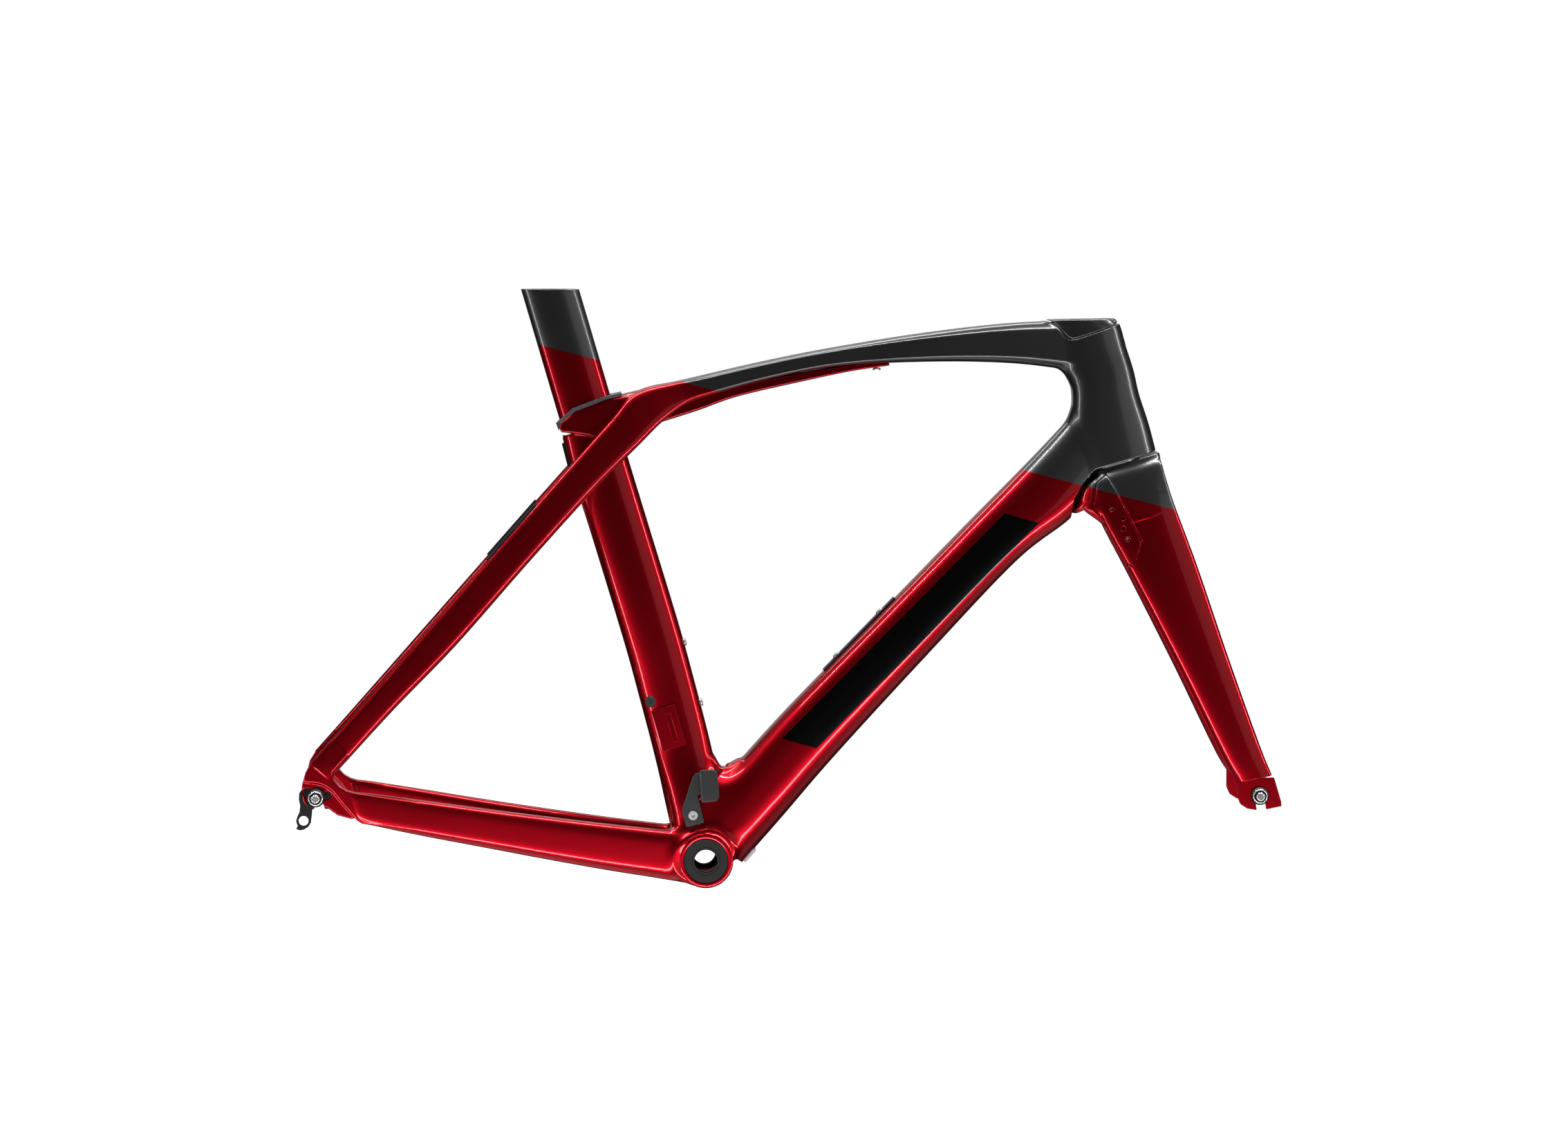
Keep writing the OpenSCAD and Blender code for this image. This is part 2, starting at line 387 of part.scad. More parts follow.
head_tube();
top_tube();
down_tube();
seat_tube();
bb_shell();
seat_cluster();
chainstay_left();
chainstay_right();
seatstay_left();
seatstay_right();
rear_dropout_left();
rear_dropout_right();
derailleur_hanger();
hanger_bolts();
flex_beam();
beam_bolt();
flex_slider();
mast_collar();
mast_pivot_axle();
rear_brake_plate();
rear_cable_port();
head_port_plug();
top_cover();
control_cover();
bottle_bolts();
seat_tube_bottle_bolts();
derailleur_mount_insert();
rubber_plug();
bb_port_cover();
chain_keeper();
chain_keeper_bolt();
bb_outer_races();
bb_seals();
bb_balls();
bb_inner_race_left();
bb_inner_race_right();
upper_headset_bearing();
lower_headset_bearing();
steerer();
fork_crown();
fork_blade_left();
fork_blade_right();
front_dropout_left();
front_dropout_right();
brake_cover_left();
brake_cover_right();
brake_cover_screws();
crown_race();
compression_ring();
seat_mast();
mast_pivot_tube();
front_skewer();
front_skewer_nut();
front_skewer_lever();
rear_skewer();
rear_skewer_nut();
rear_skewer_lever();
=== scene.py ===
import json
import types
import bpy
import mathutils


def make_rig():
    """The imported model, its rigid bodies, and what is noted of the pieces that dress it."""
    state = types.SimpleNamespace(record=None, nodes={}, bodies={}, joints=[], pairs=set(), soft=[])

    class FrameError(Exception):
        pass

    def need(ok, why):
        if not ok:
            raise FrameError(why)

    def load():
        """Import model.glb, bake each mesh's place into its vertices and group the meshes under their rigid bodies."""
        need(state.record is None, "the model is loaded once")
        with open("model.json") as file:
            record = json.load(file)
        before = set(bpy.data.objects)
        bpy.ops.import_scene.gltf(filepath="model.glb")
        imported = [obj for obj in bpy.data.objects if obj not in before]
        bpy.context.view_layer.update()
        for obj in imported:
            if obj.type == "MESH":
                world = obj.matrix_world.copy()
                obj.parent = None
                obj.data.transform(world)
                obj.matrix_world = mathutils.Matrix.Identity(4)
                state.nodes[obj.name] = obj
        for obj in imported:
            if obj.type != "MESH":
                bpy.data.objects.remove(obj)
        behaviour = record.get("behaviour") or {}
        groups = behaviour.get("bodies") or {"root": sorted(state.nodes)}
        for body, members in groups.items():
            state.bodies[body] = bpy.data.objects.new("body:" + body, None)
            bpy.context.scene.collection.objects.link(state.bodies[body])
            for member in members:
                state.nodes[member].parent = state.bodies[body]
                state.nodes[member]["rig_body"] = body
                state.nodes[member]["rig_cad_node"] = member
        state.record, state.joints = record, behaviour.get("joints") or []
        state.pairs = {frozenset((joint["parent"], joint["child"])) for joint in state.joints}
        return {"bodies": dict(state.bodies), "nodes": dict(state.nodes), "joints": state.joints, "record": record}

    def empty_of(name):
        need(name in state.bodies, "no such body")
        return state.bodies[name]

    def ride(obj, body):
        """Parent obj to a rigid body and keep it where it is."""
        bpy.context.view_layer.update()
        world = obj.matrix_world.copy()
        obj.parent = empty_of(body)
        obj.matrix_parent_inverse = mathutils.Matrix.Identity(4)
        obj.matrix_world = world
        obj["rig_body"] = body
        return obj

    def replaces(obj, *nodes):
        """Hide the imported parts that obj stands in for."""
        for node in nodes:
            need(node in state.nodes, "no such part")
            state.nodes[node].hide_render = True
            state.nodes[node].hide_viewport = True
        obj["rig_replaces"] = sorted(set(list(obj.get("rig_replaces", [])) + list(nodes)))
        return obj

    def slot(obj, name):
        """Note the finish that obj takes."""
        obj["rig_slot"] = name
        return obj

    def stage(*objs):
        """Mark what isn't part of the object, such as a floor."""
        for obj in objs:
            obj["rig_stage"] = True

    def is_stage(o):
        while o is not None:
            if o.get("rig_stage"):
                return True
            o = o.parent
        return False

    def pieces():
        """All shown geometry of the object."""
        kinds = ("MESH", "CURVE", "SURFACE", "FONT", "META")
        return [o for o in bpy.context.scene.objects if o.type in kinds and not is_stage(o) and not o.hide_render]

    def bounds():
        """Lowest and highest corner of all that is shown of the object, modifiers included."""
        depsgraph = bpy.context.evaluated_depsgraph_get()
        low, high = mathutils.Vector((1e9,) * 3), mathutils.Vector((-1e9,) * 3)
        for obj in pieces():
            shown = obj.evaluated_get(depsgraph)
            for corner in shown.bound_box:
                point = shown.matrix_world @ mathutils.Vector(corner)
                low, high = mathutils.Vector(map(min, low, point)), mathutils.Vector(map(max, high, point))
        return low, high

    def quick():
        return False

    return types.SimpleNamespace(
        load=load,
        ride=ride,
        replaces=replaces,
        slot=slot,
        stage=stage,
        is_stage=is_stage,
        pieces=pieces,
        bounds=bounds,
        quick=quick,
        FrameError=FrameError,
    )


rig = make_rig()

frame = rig.load()

import json
import math
import bpy
import bmesh
import numpy as np
from mathutils import Matrix, Vector

CAD_LO, CAD_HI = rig.bounds()
NODE = frame["nodes"]
scene = bpy.context.scene
CELL = 1.8 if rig.quick() else 1.3      # mm, size of a cell of the smooth shells

# ---------------------------------------------------------------- the tubes
# [x, z of one edge, x, z of the other edge, centre y, width, squareness], in mm, as in the CAD source
K_down = [[-12,46, 39,-5, 0,80,2.8],[31,95, 82,44, 0,70,2.8],[86,156, 136,107, 0,62,2.8],
 [180,253, 230,210, 0,60,2.8],[272,348, 324,309.8, 0,58,2.8],[331,408, 380.4,354.4, 0,54,2.7],[369.5,449, 417,394, 0,48,2.6],[383,467, 432,412, 0,44,2.6]]
K_seat = [[24,30, -32,14, 0,76,2.8],[16,70, -41,54, 0,66,2.6],[6,118, -51.8,102, 0,43,2.4],[-10,180, -68,164, 0,36,2.3],[-28,245, -86,229, 0,36,2.3],
 [-62,356, -120,340, 0,36,2.3],[-81,418, -140,402, 0,36,2.3],[-93.4,462, -151,445.6, 0,36,2.3]]
K_top = [[-92,483, -84,458, 0,40,2.8],[-24,499, -16,477, 0,44.5,2.8],[60,518.5, 65,499.5, 0,46,2.8],[133,533, 137,513, 0,46,2.7],
 [225,548, 228,518, 0,48,2.6],[316,558.5, 319,516.6, 0,47,2.6],[400,562, 400,507, 0,42,2.6]]
K_head = [[473,416, 394,392.7, 0,54,2.6],[470,426, 391,402.7, 0,54,2.7],[462,455, 380,437, 0,54,2.9],[452,485, 381.4,463, 0,54,3],
 [446,510, 381,490, 0,54,3],[438,535, 372,511, 0,50,2.9],[432,556, 366,540, 0,48,2.8],[426,564, 358,560, 0,46,2.6],[422,572, 356,568, 0,46,2.6]]
K_beam = [[-78,457, -74,446, 0,20,3],[-14,479.5, -11,466, 0,22,3],[30,493, 33,481.5, 0,22,3],[97,506.5, 99,497, 0,22,3],[150,515, 151,508, 0,22,3],[190,518.5, 191,514, 0,20,3]]
K_sstay = [[-409,105, -389,88, 66,10,2.6],[-345,178, -324,159, 61,13,2.4],[-284,248, -259,226, 53,14,2.4],[-210,333, -185,310, 43,14,2.4],
 [-144,408, -117,385, 34.5,15,2.4],[-100,457, -71,431, 28.5,14,2.4],[-73,485.5, -44,457.5, 24,13,2.4],[-30,497, -12,480, 19,9,2.4],[30,506.5, 34,495.5, 15.6,7,2.4]]
K_cstay = [[-371,72.5, -366,53, 63.4,12,2.8],[-347,72.6, -339,38.6, 64,14,2.8],[-216,53.6, -210,11, 47,19,2.8],[-120,40.6, -114,-8, 37,20,2.7],
 [-60,33.4, -52,-18.6, 32.5,20,2.6],[-4,27, 0,-27.5, 31,20,2.6]]
K_crown = [[472,420.8, 401,399.8, 0,52,2.6],[474,413, 389.5,388, 0,57,2.5],[479,400.5, 384,372.5, 0,63,2.6],[482.5,389.5, 383.5,360, 0,69,2.5],[489.5,367.5, 417,346, 0,80,2.5]]
K_crown = [[469,430, 398,409, 0,50,2.6]] + K_crown
K_blade = [[488.5,367.5, 417,346, 32,16,2.4],[511.4,306, 447,290, 37.5,17,2.3],[543.6,212, 495.5,196, 44,16,2.3],[576,122, 538,110, 50,14,2.3],[589,90, 554,83, 52.5,11,2.5]]
K_cheek = [[469,430, 408,412, 14,13,2.5],[472,420.8, 408,401.5, 18,13,2.5],[474.8,412, 405,391, 24.5,12,2.5],[481,390, 409,368, 29,14,2.6]]
AXIS, REAR, FRONT, PIVOT = (429, 412), (-404, 69), (576, 69), (-124, 463.5)
TILT = math.radians(16.5)
UP = (-math.sin(TILT), math.cos(TILT))     # along the steering axis and the mast, in x, z
FWD = (math.cos(TILT), math.sin(TILT))


# ---------------------------------------------------------------- distance fields
FAR = 60.0


def smin(a, b, k):
    h = np.maximum(k - np.abs(a - b), 0) / k
    return np.minimum(a, b) - h * h * k * 0.25


def smax(a, b, k):
    return -smin(-a, -b, k)


class Loft:
    """A tube of superellipse sections. flat cuts its sides to planes, which leaves a crisp edge above and below."""

    def __init__(self, K, side=1, flat=None, edge=1.6, sharp=None, chamfer=None):
        K = np.array(K, float)
        K[:, 4] *= side
        if sharp is not None:
            K[:, 6] = sharp
        self.P = np.vstack([2 * K[0] - K[1], K, 2 * K[-1] - K[-2]])
        self.n = len(K) - 1
        self.flat, self.edge, self.chamfer, self.side = flat, edge, chamfer, side
        self.tab_t = np.linspace(0, self.n, 6 * self.n + 1)
        self.tab = self.row(self.tab_t)
        m0, m1 = self.tab[0], self.tab[1]
        d = m0[:2] - m0[2:4]
        v = (m1[:2] + m1[2:4]) - (m0[:2] + m0[2:4])
        self.s = 1.0 if d[1] * v[0] - d[0] * v[1] > 0 else -1.0
        xs, zs = np.concatenate([K[:, 0], K[:, 2]]), np.concatenate([K[:, 1], K[:, 3]])
        self.lo, self.hi = np.array([xs.min(), zs.min()]), np.array([xs.max(), zs.max()])
        self.ylo, self.yhi = (K[:, 4] - K[:, 5] / 2).min(), (K[:, 4] + K[:, 5] / 2).max()

    def row(self, t):
        i = np.clip(t.astype(int), 0, self.n - 1)
        f = (t - i)[:, None]
        a, b, c, d = (self.P[i + j] for j in range(4))
        return 0.5 * (2 * b + (c - a) * f + (2 * a - 5 * b + 4 * c - d) * f * f + (3 * b - a - 3 * c + d) * f ** 3)

    def ahead(self, r, x, z):
        dx, dz = r[:, 0] - r[:, 2], r[:, 1] - r[:, 3]
        L = np.sqrt(dx * dx + dz * dz)
        return self.s * ((x - r[:, 2]) * dz - (z - r[:, 3]) * dx) / L, L, dx / L, dz / L

    def columns(self, x, z, margin):
        """Which columns are near, and where they lie in the tube."""
        near = np.nonzero((x > self.lo[0] - margin) & (x < self.hi[0] + margin) & (z > self.lo[1] - margin) & (z < self.hi[1] + margin))[0]
        if not len(near):
            return near, None
        X, Z = x[near], z[near]
        T = self.tab
        dx, dz = T[:, 0] - T[:, 2], T[:, 1] - T[:, 3]
        L = np.sqrt(dx * dx + dz * dz)
        g = self.s * ((X[:, None] - T[:, 2]) * (dz / L) - (Z[:, None] - T[:, 3]) * (dx / L))
        k = np.clip((g > 0).sum(1) - 1, 0, len(T) - 2)
        r = np.arange(len(X))
        g0, g1 = g[r, k], g[r, k + 1]
        f = np.clip(g0 / np.where(np.abs(g0 - g1) < 1e-9, 1e-9, g0 - g1), 0, 1)
        step = self.tab_t[1] - self.tab_t[0]
        t = self.tab_t[k] + f * step
        for _ in range(2):
            e, _, _, _ = self.ahead(self.row(t), X, Z)
            v = (g0 - g1) / step
            t = np.clip(t + e / np.where(np.abs(v) < 1e-6, 1e-6, v), 0, self.n)
        R = self.row(t)
        e, L, cx, cz = self.ahead(R, X, Z)
        over = np.where(t <= 1e-9, -e, np.where(t >= self.n - 1e-9, e, -1e3))
        u = (X - (R[:, 0] + R[:, 2]) / 2) * cx + (Z - (R[:, 1] + R[:, 3]) / 2) * cz
        keep = (np.abs(u) < L / 2 + margin) & (over < margin)
        q = (u, L / 2, R[:, 4], R[:, 5] / 2, R[:, 6], cx, cz, over)
        return near[keep], tuple(v[keep][:, None] for v in q)

    def field(self, q, Y):
        u, a, yc, b, n, cx, cz, over = q
        v = Y - yc
        bb = b / self.flat if self.flat else b
        U, V = np.abs(u) / a + 1e-6, np.abs(v) / bb + 1e-6
        rho = (U ** n + V ** n) ** (1 / n)
        gu, gv = (U / rho) ** (n - 1) / a, (V / rho) ** (n - 1) / bb
        g = np.sqrt(gu * gu + gv * gv)
        F = (rho - 1) / g
        gu, gv = gu / g * np.sign(u), gv / g * np.sign(v)
        if self.flat:
            F = smax(F, np.abs(v) - b, self.edge)
        if self.chamfer:      # depth below the upper edge, width taken off the outer side
            d, w = self.chamfer
            out = v * self.side
            F = smax(F, ((u - (a - d)) * w + (out - b) * d) / math.hypot(d, w), 1.3)
        F = np.where(over > 0, np.sqrt(np.maximum(F, 0) ** 2 + over ** 2) + np.minimum(np.maximum(F, over), 0), np.maximum(F, over))
        return F, gu * cx, gv, gu * cz


def poly_sdf(pts, x, z):
    """Signed distance to a closed outline, less than 0 inside."""
    pts = np.array(pts, float)
    d = np.full(x.shape, 1e9)
    inside = np.zeros(x.shape, bool)
    for (ax, az), (bx, bz) in zip(pts, np.roll(pts, -1, 0)):
        ex, ez = bx - ax, bz - az
        wx, wz = x - ax, z - az
        t = np.clip((wx * ex + wz * ez) / (ex * ex + ez * ez), 0, 1)
        d = np.minimum(d, (wx - ex * t) ** 2 + (wz - ez * t) ** 2)
        inside ^= ((az > z) != (bz > z)) & (x < ex * (z - az) / (ez if abs(ez) > 1e-9 else 1e-9) + ax)
    return np.where(inside, -1, 1) * np.sqrt(d)


def rounded(pts, r, n=6):
    """The outline with its corners rounded to radius r."""
    pts = [np.array(p[:2], float) for p in pts]
    rs = [p[2] if len(p) > 2 else r for p in [list(q) for q in pts]]
    out = []
    for i, p in enumerate(pts):
        a, b = pts[i - 1] - p, pts[(i + 1) % len(pts)] - p
        la, lb = np.linalg.norm(a), np.linalg.norm(b)
        a, b = a / la, b / lb
        half = math.acos(max(-1, min(1, float(a @ b)))) / 2
        d = min(r / math.tan(half), 0.45 * la, 0.45 * lb) if half < 1.55 else 0
        if d < 1e-3:
            out.append(p)
            continue
        for k in range(n + 1):
            t = k / n
            out.append((1 - t) ** 2 * (p + a * d) + 2 * t * (1 - t) * p + t * t * (p + b * d))
    return [tuple(q) for q in out]


class Add:
    def __init__(self, loft, k, kmin=3.0):
        self.loft, self.k, self.kmin = loft, k, kmin

    def run(self, x, z, Y, G):
        m = self.k + 6
        rows, q = self.loft.columns(x, z, m)
        if not len(rows):
            return
        F, fx, fy, fz = self.loft.field(q, Y[rows])
        F = np.broadcast_to(F, (len(rows), Y.shape[1]))
        g, gx, gy, gz = (c[rows] for c in G)
        dot = gx * fx + gy * fy + gz * fz
        w = np.clip(1 - dot, 0, 1)
        k = self.kmin + (self.k - self.kmin) * w * w * (3 - 2 * w)
        mix = np.clip(0.5 + 0.5 * (F - g) / k, 0, 1)
        G[0][rows] = smin(g, F, k)
        for c, a, b in ((G[1], gx, fx), (G[2], gy, fy), (G[3], gz, fz)):
            c[rows] = mix * a + (1 - mix) * b


class Barrel:
    def __init__(self, x, z, r, y0, y1, edge=2.0):
        self.a = (x, z, r, y0, y1, edge)
        self.lo, self.hi = np.array([x - r, z - r]), np.array([x + r, z + r])

    def columns(self, x, z, margin):
        cx, cz, r, _, _, _ = self.a
        d = np.hypot(x - cx, z - cz)
        rows = np.nonzero(d < r + margin)[0]
        return rows, (d[rows][:, None], (x[rows] - cx)[:, None], (z[rows] - cz)[:, None])

    def field(self, q, Y):
        cx, cz, r, y0, y1, edge = self.a
        d, dx, dz = q
        F = smax(d - r + 0 * Y, np.abs(Y - (y0 + y1) / 2) - (y1 - y0) / 2, edge)
        side = np.clip(0.5 + (d - r - np.abs(Y - (y0 + y1) / 2) + (y1 - y0) / 2) / 9, 0, 1)
        dd = np.maximum(d, 1e-6)
        return F, dx / dd * side, np.sign(Y) * (1 - side), dz / dd * side


class Cut:
    """Takes a region away: shape(x, z, Y) is its distance, less than 0 inside."""

    def __init__(self, box, shape, k=1.5):
        self.box, self.shape, self.k = box, shape, k

    def run(self, x, z, Y, G):
        x0, z0, x1, z1 = self.box
        rows = np.nonzero((x > x0) & (x < x1) & (z > z0) & (z < z1))[0]
        if len(rows):
            G[0][rows] = smax(G[0][rows], -self.shape(x[rows][:, None], z[rows][:, None], Y[rows]), self.k)


class Keep(Cut):
    def run(self, x, z, Y, G):
        G[0][:] = smax(G[0], self.shape(x[:, None], z[:, None], Y), self.k)


def evaluate(ops, x, z, Y):
    """x, z: (M,), Y: (M, N). Returns the field (M, N)."""
    G = [np.full(Y.shape, FAR), np.zeros(Y.shape), np.zeros(Y.shape), np.zeros(Y.shape)]
    for op in ops:
        op.run(x, z, Y, G)
    return G[0]


def shell(name, ops, box, h, holes=()):
    """Meshes the zero level of ops in box (x0,y0,z0,x1,y1,z1), in mm, with cells of h."""
    x0, y0, z0, x1, y1, z1 = box
    nx, ny, nz = (int(math.ceil((b - a) / h)) + 1 for a, b in ((x0, x1), (y0, y1), (z0, z1)))
    gx, gy, gz = x0 + h * np.arange(nx), y0 + h * np.arange(ny), z0 + h * np.arange(nz)
    X, Z = np.meshgrid(gx, gz, indexing="ij")
    X, Z = X.ravel(), Z.ravel()
    used = np.zeros(len(X), bool)
    for op in ops:
        if isinstance(op, Add):
            used[op.loft.columns(X, Z, 3 * h + 2 + op.k * 0.3)[0]] = True
    cols = np.nonzero(used)[0]
    G = np.empty((len(cols), ny), np.float32)
    for s in range(0, len(cols), 20000):
        c = cols[s:s + 20000]
        G[s:s + 20000] = evaluate(ops, X[c], Z[c], np.broadcast_to(gy, (len(c), ny)).copy())
    idm = np.full(nx * nz, -1, np.int64)
    idm[cols] = np.arange(len(cols))
    idm = idm.reshape(nx, nz)
    ok = (idm[:-1, :-1] >= 0) & (idm[1:, :-1] >= 0) & (idm[:-1, 1:] >= 0) & (idm[1:, 1:] >= 0)
    ci, ck = np.nonzero(ok)
    cm = np.full((nx, nz), -1, np.int64)
    cm[ci, ck] = np.arange(len(ci))
    cc = [idm[ci, ck], idm[ci + 1, ck], idm[ci, ck + 1], idm[ci + 1, ck + 1]]
    S = G < 0
    cnt = np.zeros((len(ci), ny - 1), np.int8)
    for c in cc:
        cnt += S[c, :-1]
        cnt += S[c, 1:]
    a, j = np.nonzero((cnt > 0) & (cnt < 8))
    vid = np.full((len(ci), ny - 1), -1, np.int64)
    vid[a, j] = np.arange(len(a))
    # corner values: index = 4*dy + 2*dz + dx
    V = np.stack([G[cc[dx + 2 * dz][a], j + dy] for dy in (0, 1) for dz in (0, 1) for dx in (0, 1)], 1).astype(float)
    off = np.array([[dx, dy, dz] for dy in (0, 1) for dz in (0, 1) for dx in (0, 1)], float)
    acc, num = np.zeros((len(a), 3)), np.zeros(len(a))
    for p in range(8):
        for q in range(p + 1, 8):
            if abs(off[p] - off[q]).sum() == 1:
                cr = (V[:, p] < 0) != (V[:, q] < 0)
                t = np.where(cr, V[:, p] / np.where(cr, V[:, p] - V[:, q], 1), 0)[:, None]
                acc += np.where(cr[:, None], off[p] + t * (off[q] - off[p]), 0)
                num += cr
    P = np.stack([gx[ci[a]], gy[j], gz[ck[a]]], 1) + h * acc / num[:, None]
    quads = []

    def emit(cells, flip):
        ids = np.stack(cells, 1)
        good = (ids >= 0).all(1)
        ids, flip = ids[good], flip[good]
        quads.append(np.where(flip[:, None], ids[:, ::-1], ids))

    def look(i, k, jj):
        inside = (i >= 0) & (k >= 0) & (jj >= 0) & (jj < ny - 1)
        c = np.where(inside, cm[np.clip(i, 0, nx - 1), np.clip(k, 0, nz - 1)], -1)
        return np.where(c >= 0, vid[np.clip(c, 0, None), np.clip(jj, 0, ny - 2)], -1)

    ii, kk = np.divmod(cols, nz)
    # edges along y
    r, jj = np.nonzero(S[:, :-1] != S[:, 1:])
    i, k = ii[r], kk[r]
    emit([look(i - 1, k - 1, jj), look(i, k - 1, jj), look(i, k, jj), look(i - 1, k, jj)], S[r, jj + 1])
    # edges along x
    r0 = np.nonzero((ii < nx - 1))[0]
    n0 = idm[ii[r0] + 1, kk[r0]]
    r0, n0 = r0[n0 >= 0], n0[n0 >= 0]
    r, jj = np.nonzero(S[r0] != S[n0])
    i, k = ii[r0[r]], kk[r0[r]]
    emit([look(i, k - 1, jj - 1), look(i, k, jj - 1), look(i, k, jj), look(i, k - 1, jj)], S[n0[r], jj])
    # edges along z
    r0 = np.nonzero((kk < nz - 1))[0]
    n0 = idm[ii[r0], kk[r0] + 1]
    r0, n0 = r0[n0 >= 0], n0[n0 >= 0]
    r, jj = np.nonzero(S[r0] != S[n0])
    i, k = ii[r0[r]], kk[r0[r]]
    emit([look(i - 1, k, jj - 1), look(i - 1, k, jj), look(i, k, jj), look(i, k, jj - 1)], S[n0[r], jj])
    Q = np.concatenate(quads)
    if holes:          # these parts are meshed again with smaller cells
        cx, cz = P[Q, 0].mean(1), P[Q, 2].mean(1)
        keep = np.ones(len(Q), bool)
        for a0, c0, a1, c1 in holes:
            keep &= ~((cx > a0 + 1.2) & (cx < a1 - 1.2) & (cz > c0 + 1.2) & (cz < c1 - 1.2))
        Q = Q[keep]
    live, back = np.unique(Q, return_inverse=True)
    P, Q = P[live], back.reshape(Q.shape)
    P, N = project(ops, P, h)
    P, N = project(ops, P, h)
    for a0, c0, a1, c1 in holes:          # the coarse skin dips just under the fine one where they overlap
        deep = np.minimum(np.minimum(P[:, 0] - a0, a1 - P[:, 0]), np.minimum(P[:, 2] - c0, c1 - P[:, 2]))
        P = P - N * (0.12 * np.clip(deep / 1.0, 0, 1))[:, None]
    face = np.cross(P[Q[:, 2]] - P[Q[:, 0]], P[Q[:, 3]] - P[Q[:, 1]])
    if (face * N[Q[:, 0]]).sum() < 0:
        Q = Q[:, ::-1]
    return build(name, P / 1000, Q, N)


TETRA = np.array([[1, 1, 1], [1, -1, -1], [-1, 1, -1], [-1, -1, 1]], float)


def project(ops, P, h, limit=0.6):
    """Moves points onto the zero level, and gives the surface's normals there."""
    e = 0.25
    acc, mean = np.zeros_like(P), np.zeros(len(P))
    for t in TETRA:
        q = P + t * e
        f = np.empty(len(P))
        for s in range(0, len(P), 200000):
            w = q[s:s + 200000]
            f[s:s + 200000] = evaluate(ops, w[:, 0], w[:, 2], w[:, 1:2].copy())[:, 0]
        acc += f[:, None] * t
        mean += f / 4
    g = acc / (4 * e)
    gl = np.maximum(np.linalg.norm(g, axis=1), 0.3)
    step = np.clip(mean / gl ** 2, -limit * h / 1, limit * h / 1)
    N = g / np.maximum(np.linalg.norm(g, axis=1), 1e-9)[:, None]
    return P - g * np.clip(step, -limit * h, limit * h)[:, None], N


def build(name, P, Q, N=None):
    me = bpy.data.meshes.new(name)
    me.vertices.add(len(P))
    me.vertices.foreach_set("co", np.asarray(P, np.float32).ravel())
    w = Q.shape[1]
    me.loops.add(Q.size)
    me.polygons.add(len(Q))
    me.loops.foreach_set("vertex_index", Q.astype(np.int32).ravel())
    me.polygons.foreach_set("loop_start", np.arange(0, Q.size, w, dtype=np.int32))
    me.polygons.foreach_set("loop_total", np.full(len(Q), w, np.int32))
    me.polygons.foreach_set("use_smooth", np.ones(len(Q), bool))
    me.update(calc_edges=True)
    me.validate()
    ob = bpy.data.objects.new(name, me)
    scene.collection.objects.link(ob)
    if N is not None and len(N) == len(me.vertices):
        me.normals_split_custom_set_from_vertices(N.tolist())
    return ob


# ---------------------------------------------------------------- materials
def new_mat(name):
    m = bpy.data.materials.new(name)
    m.use_nodes = True
    return m, m.node_tree.nodes, m.node_tree.links, m.node_tree.nodes["Principled BSDF"]


def sock(bsdf, **values):
    for k, v in values.items():
        bsdf.inputs[k.replace("_", " ")].default_value = v


def noise(nodes, links, scale, detail=3.0, coord=None, rough=0.5):
    n = nodes.new("ShaderNodeTexNoise")
    n.inputs["Scale"].default_value = scale
    n.inputs["Detail"].default_value = detail
    n.inputs["Roughness"].default_value = rough
    c = coord or nodes.new("ShaderNodeTexCoord")
    links.new(c.outputs["Object"], n.inputs["Vector"])
    return n, c


def math_node(nodes, links, op, a, b=None, c=None, clamp=False):
    n = nodes.new("ShaderNodeMath")
    n.operation = op
    n.use_clamp = clamp
    for i, v in enumerate((a, b, c)):
        if v is None:
            continue
        if isinstance(v, (int, float)):
            n.inputs[i].default_value = v
        else:
            links.new(v, n.inputs[i])
    return n.outputs[0]


def mix_colour(nodes, links, fac, a, b):
    n = nodes.new("ShaderNodeMix")
    n.data_type = "RGBA"
    for s, v in ((n.inputs[0], fac), (n.inputs[6], a), (n.inputs[7], b)):
        if isinstance(v, (int, float)):
            s.default_value = v
        elif isinstance(v, tuple):
            s.default_value = (*v, 1)
        else:
            links.new(v, s)
    return n.outputs[2]


RED, RED2 = (0.50, 0.0008, 0.006), (0.33, 0.0006, 0.011)
GREY, GREY2 = (0.125, 0.125, 0.126), (0.085, 0.085, 0.087)


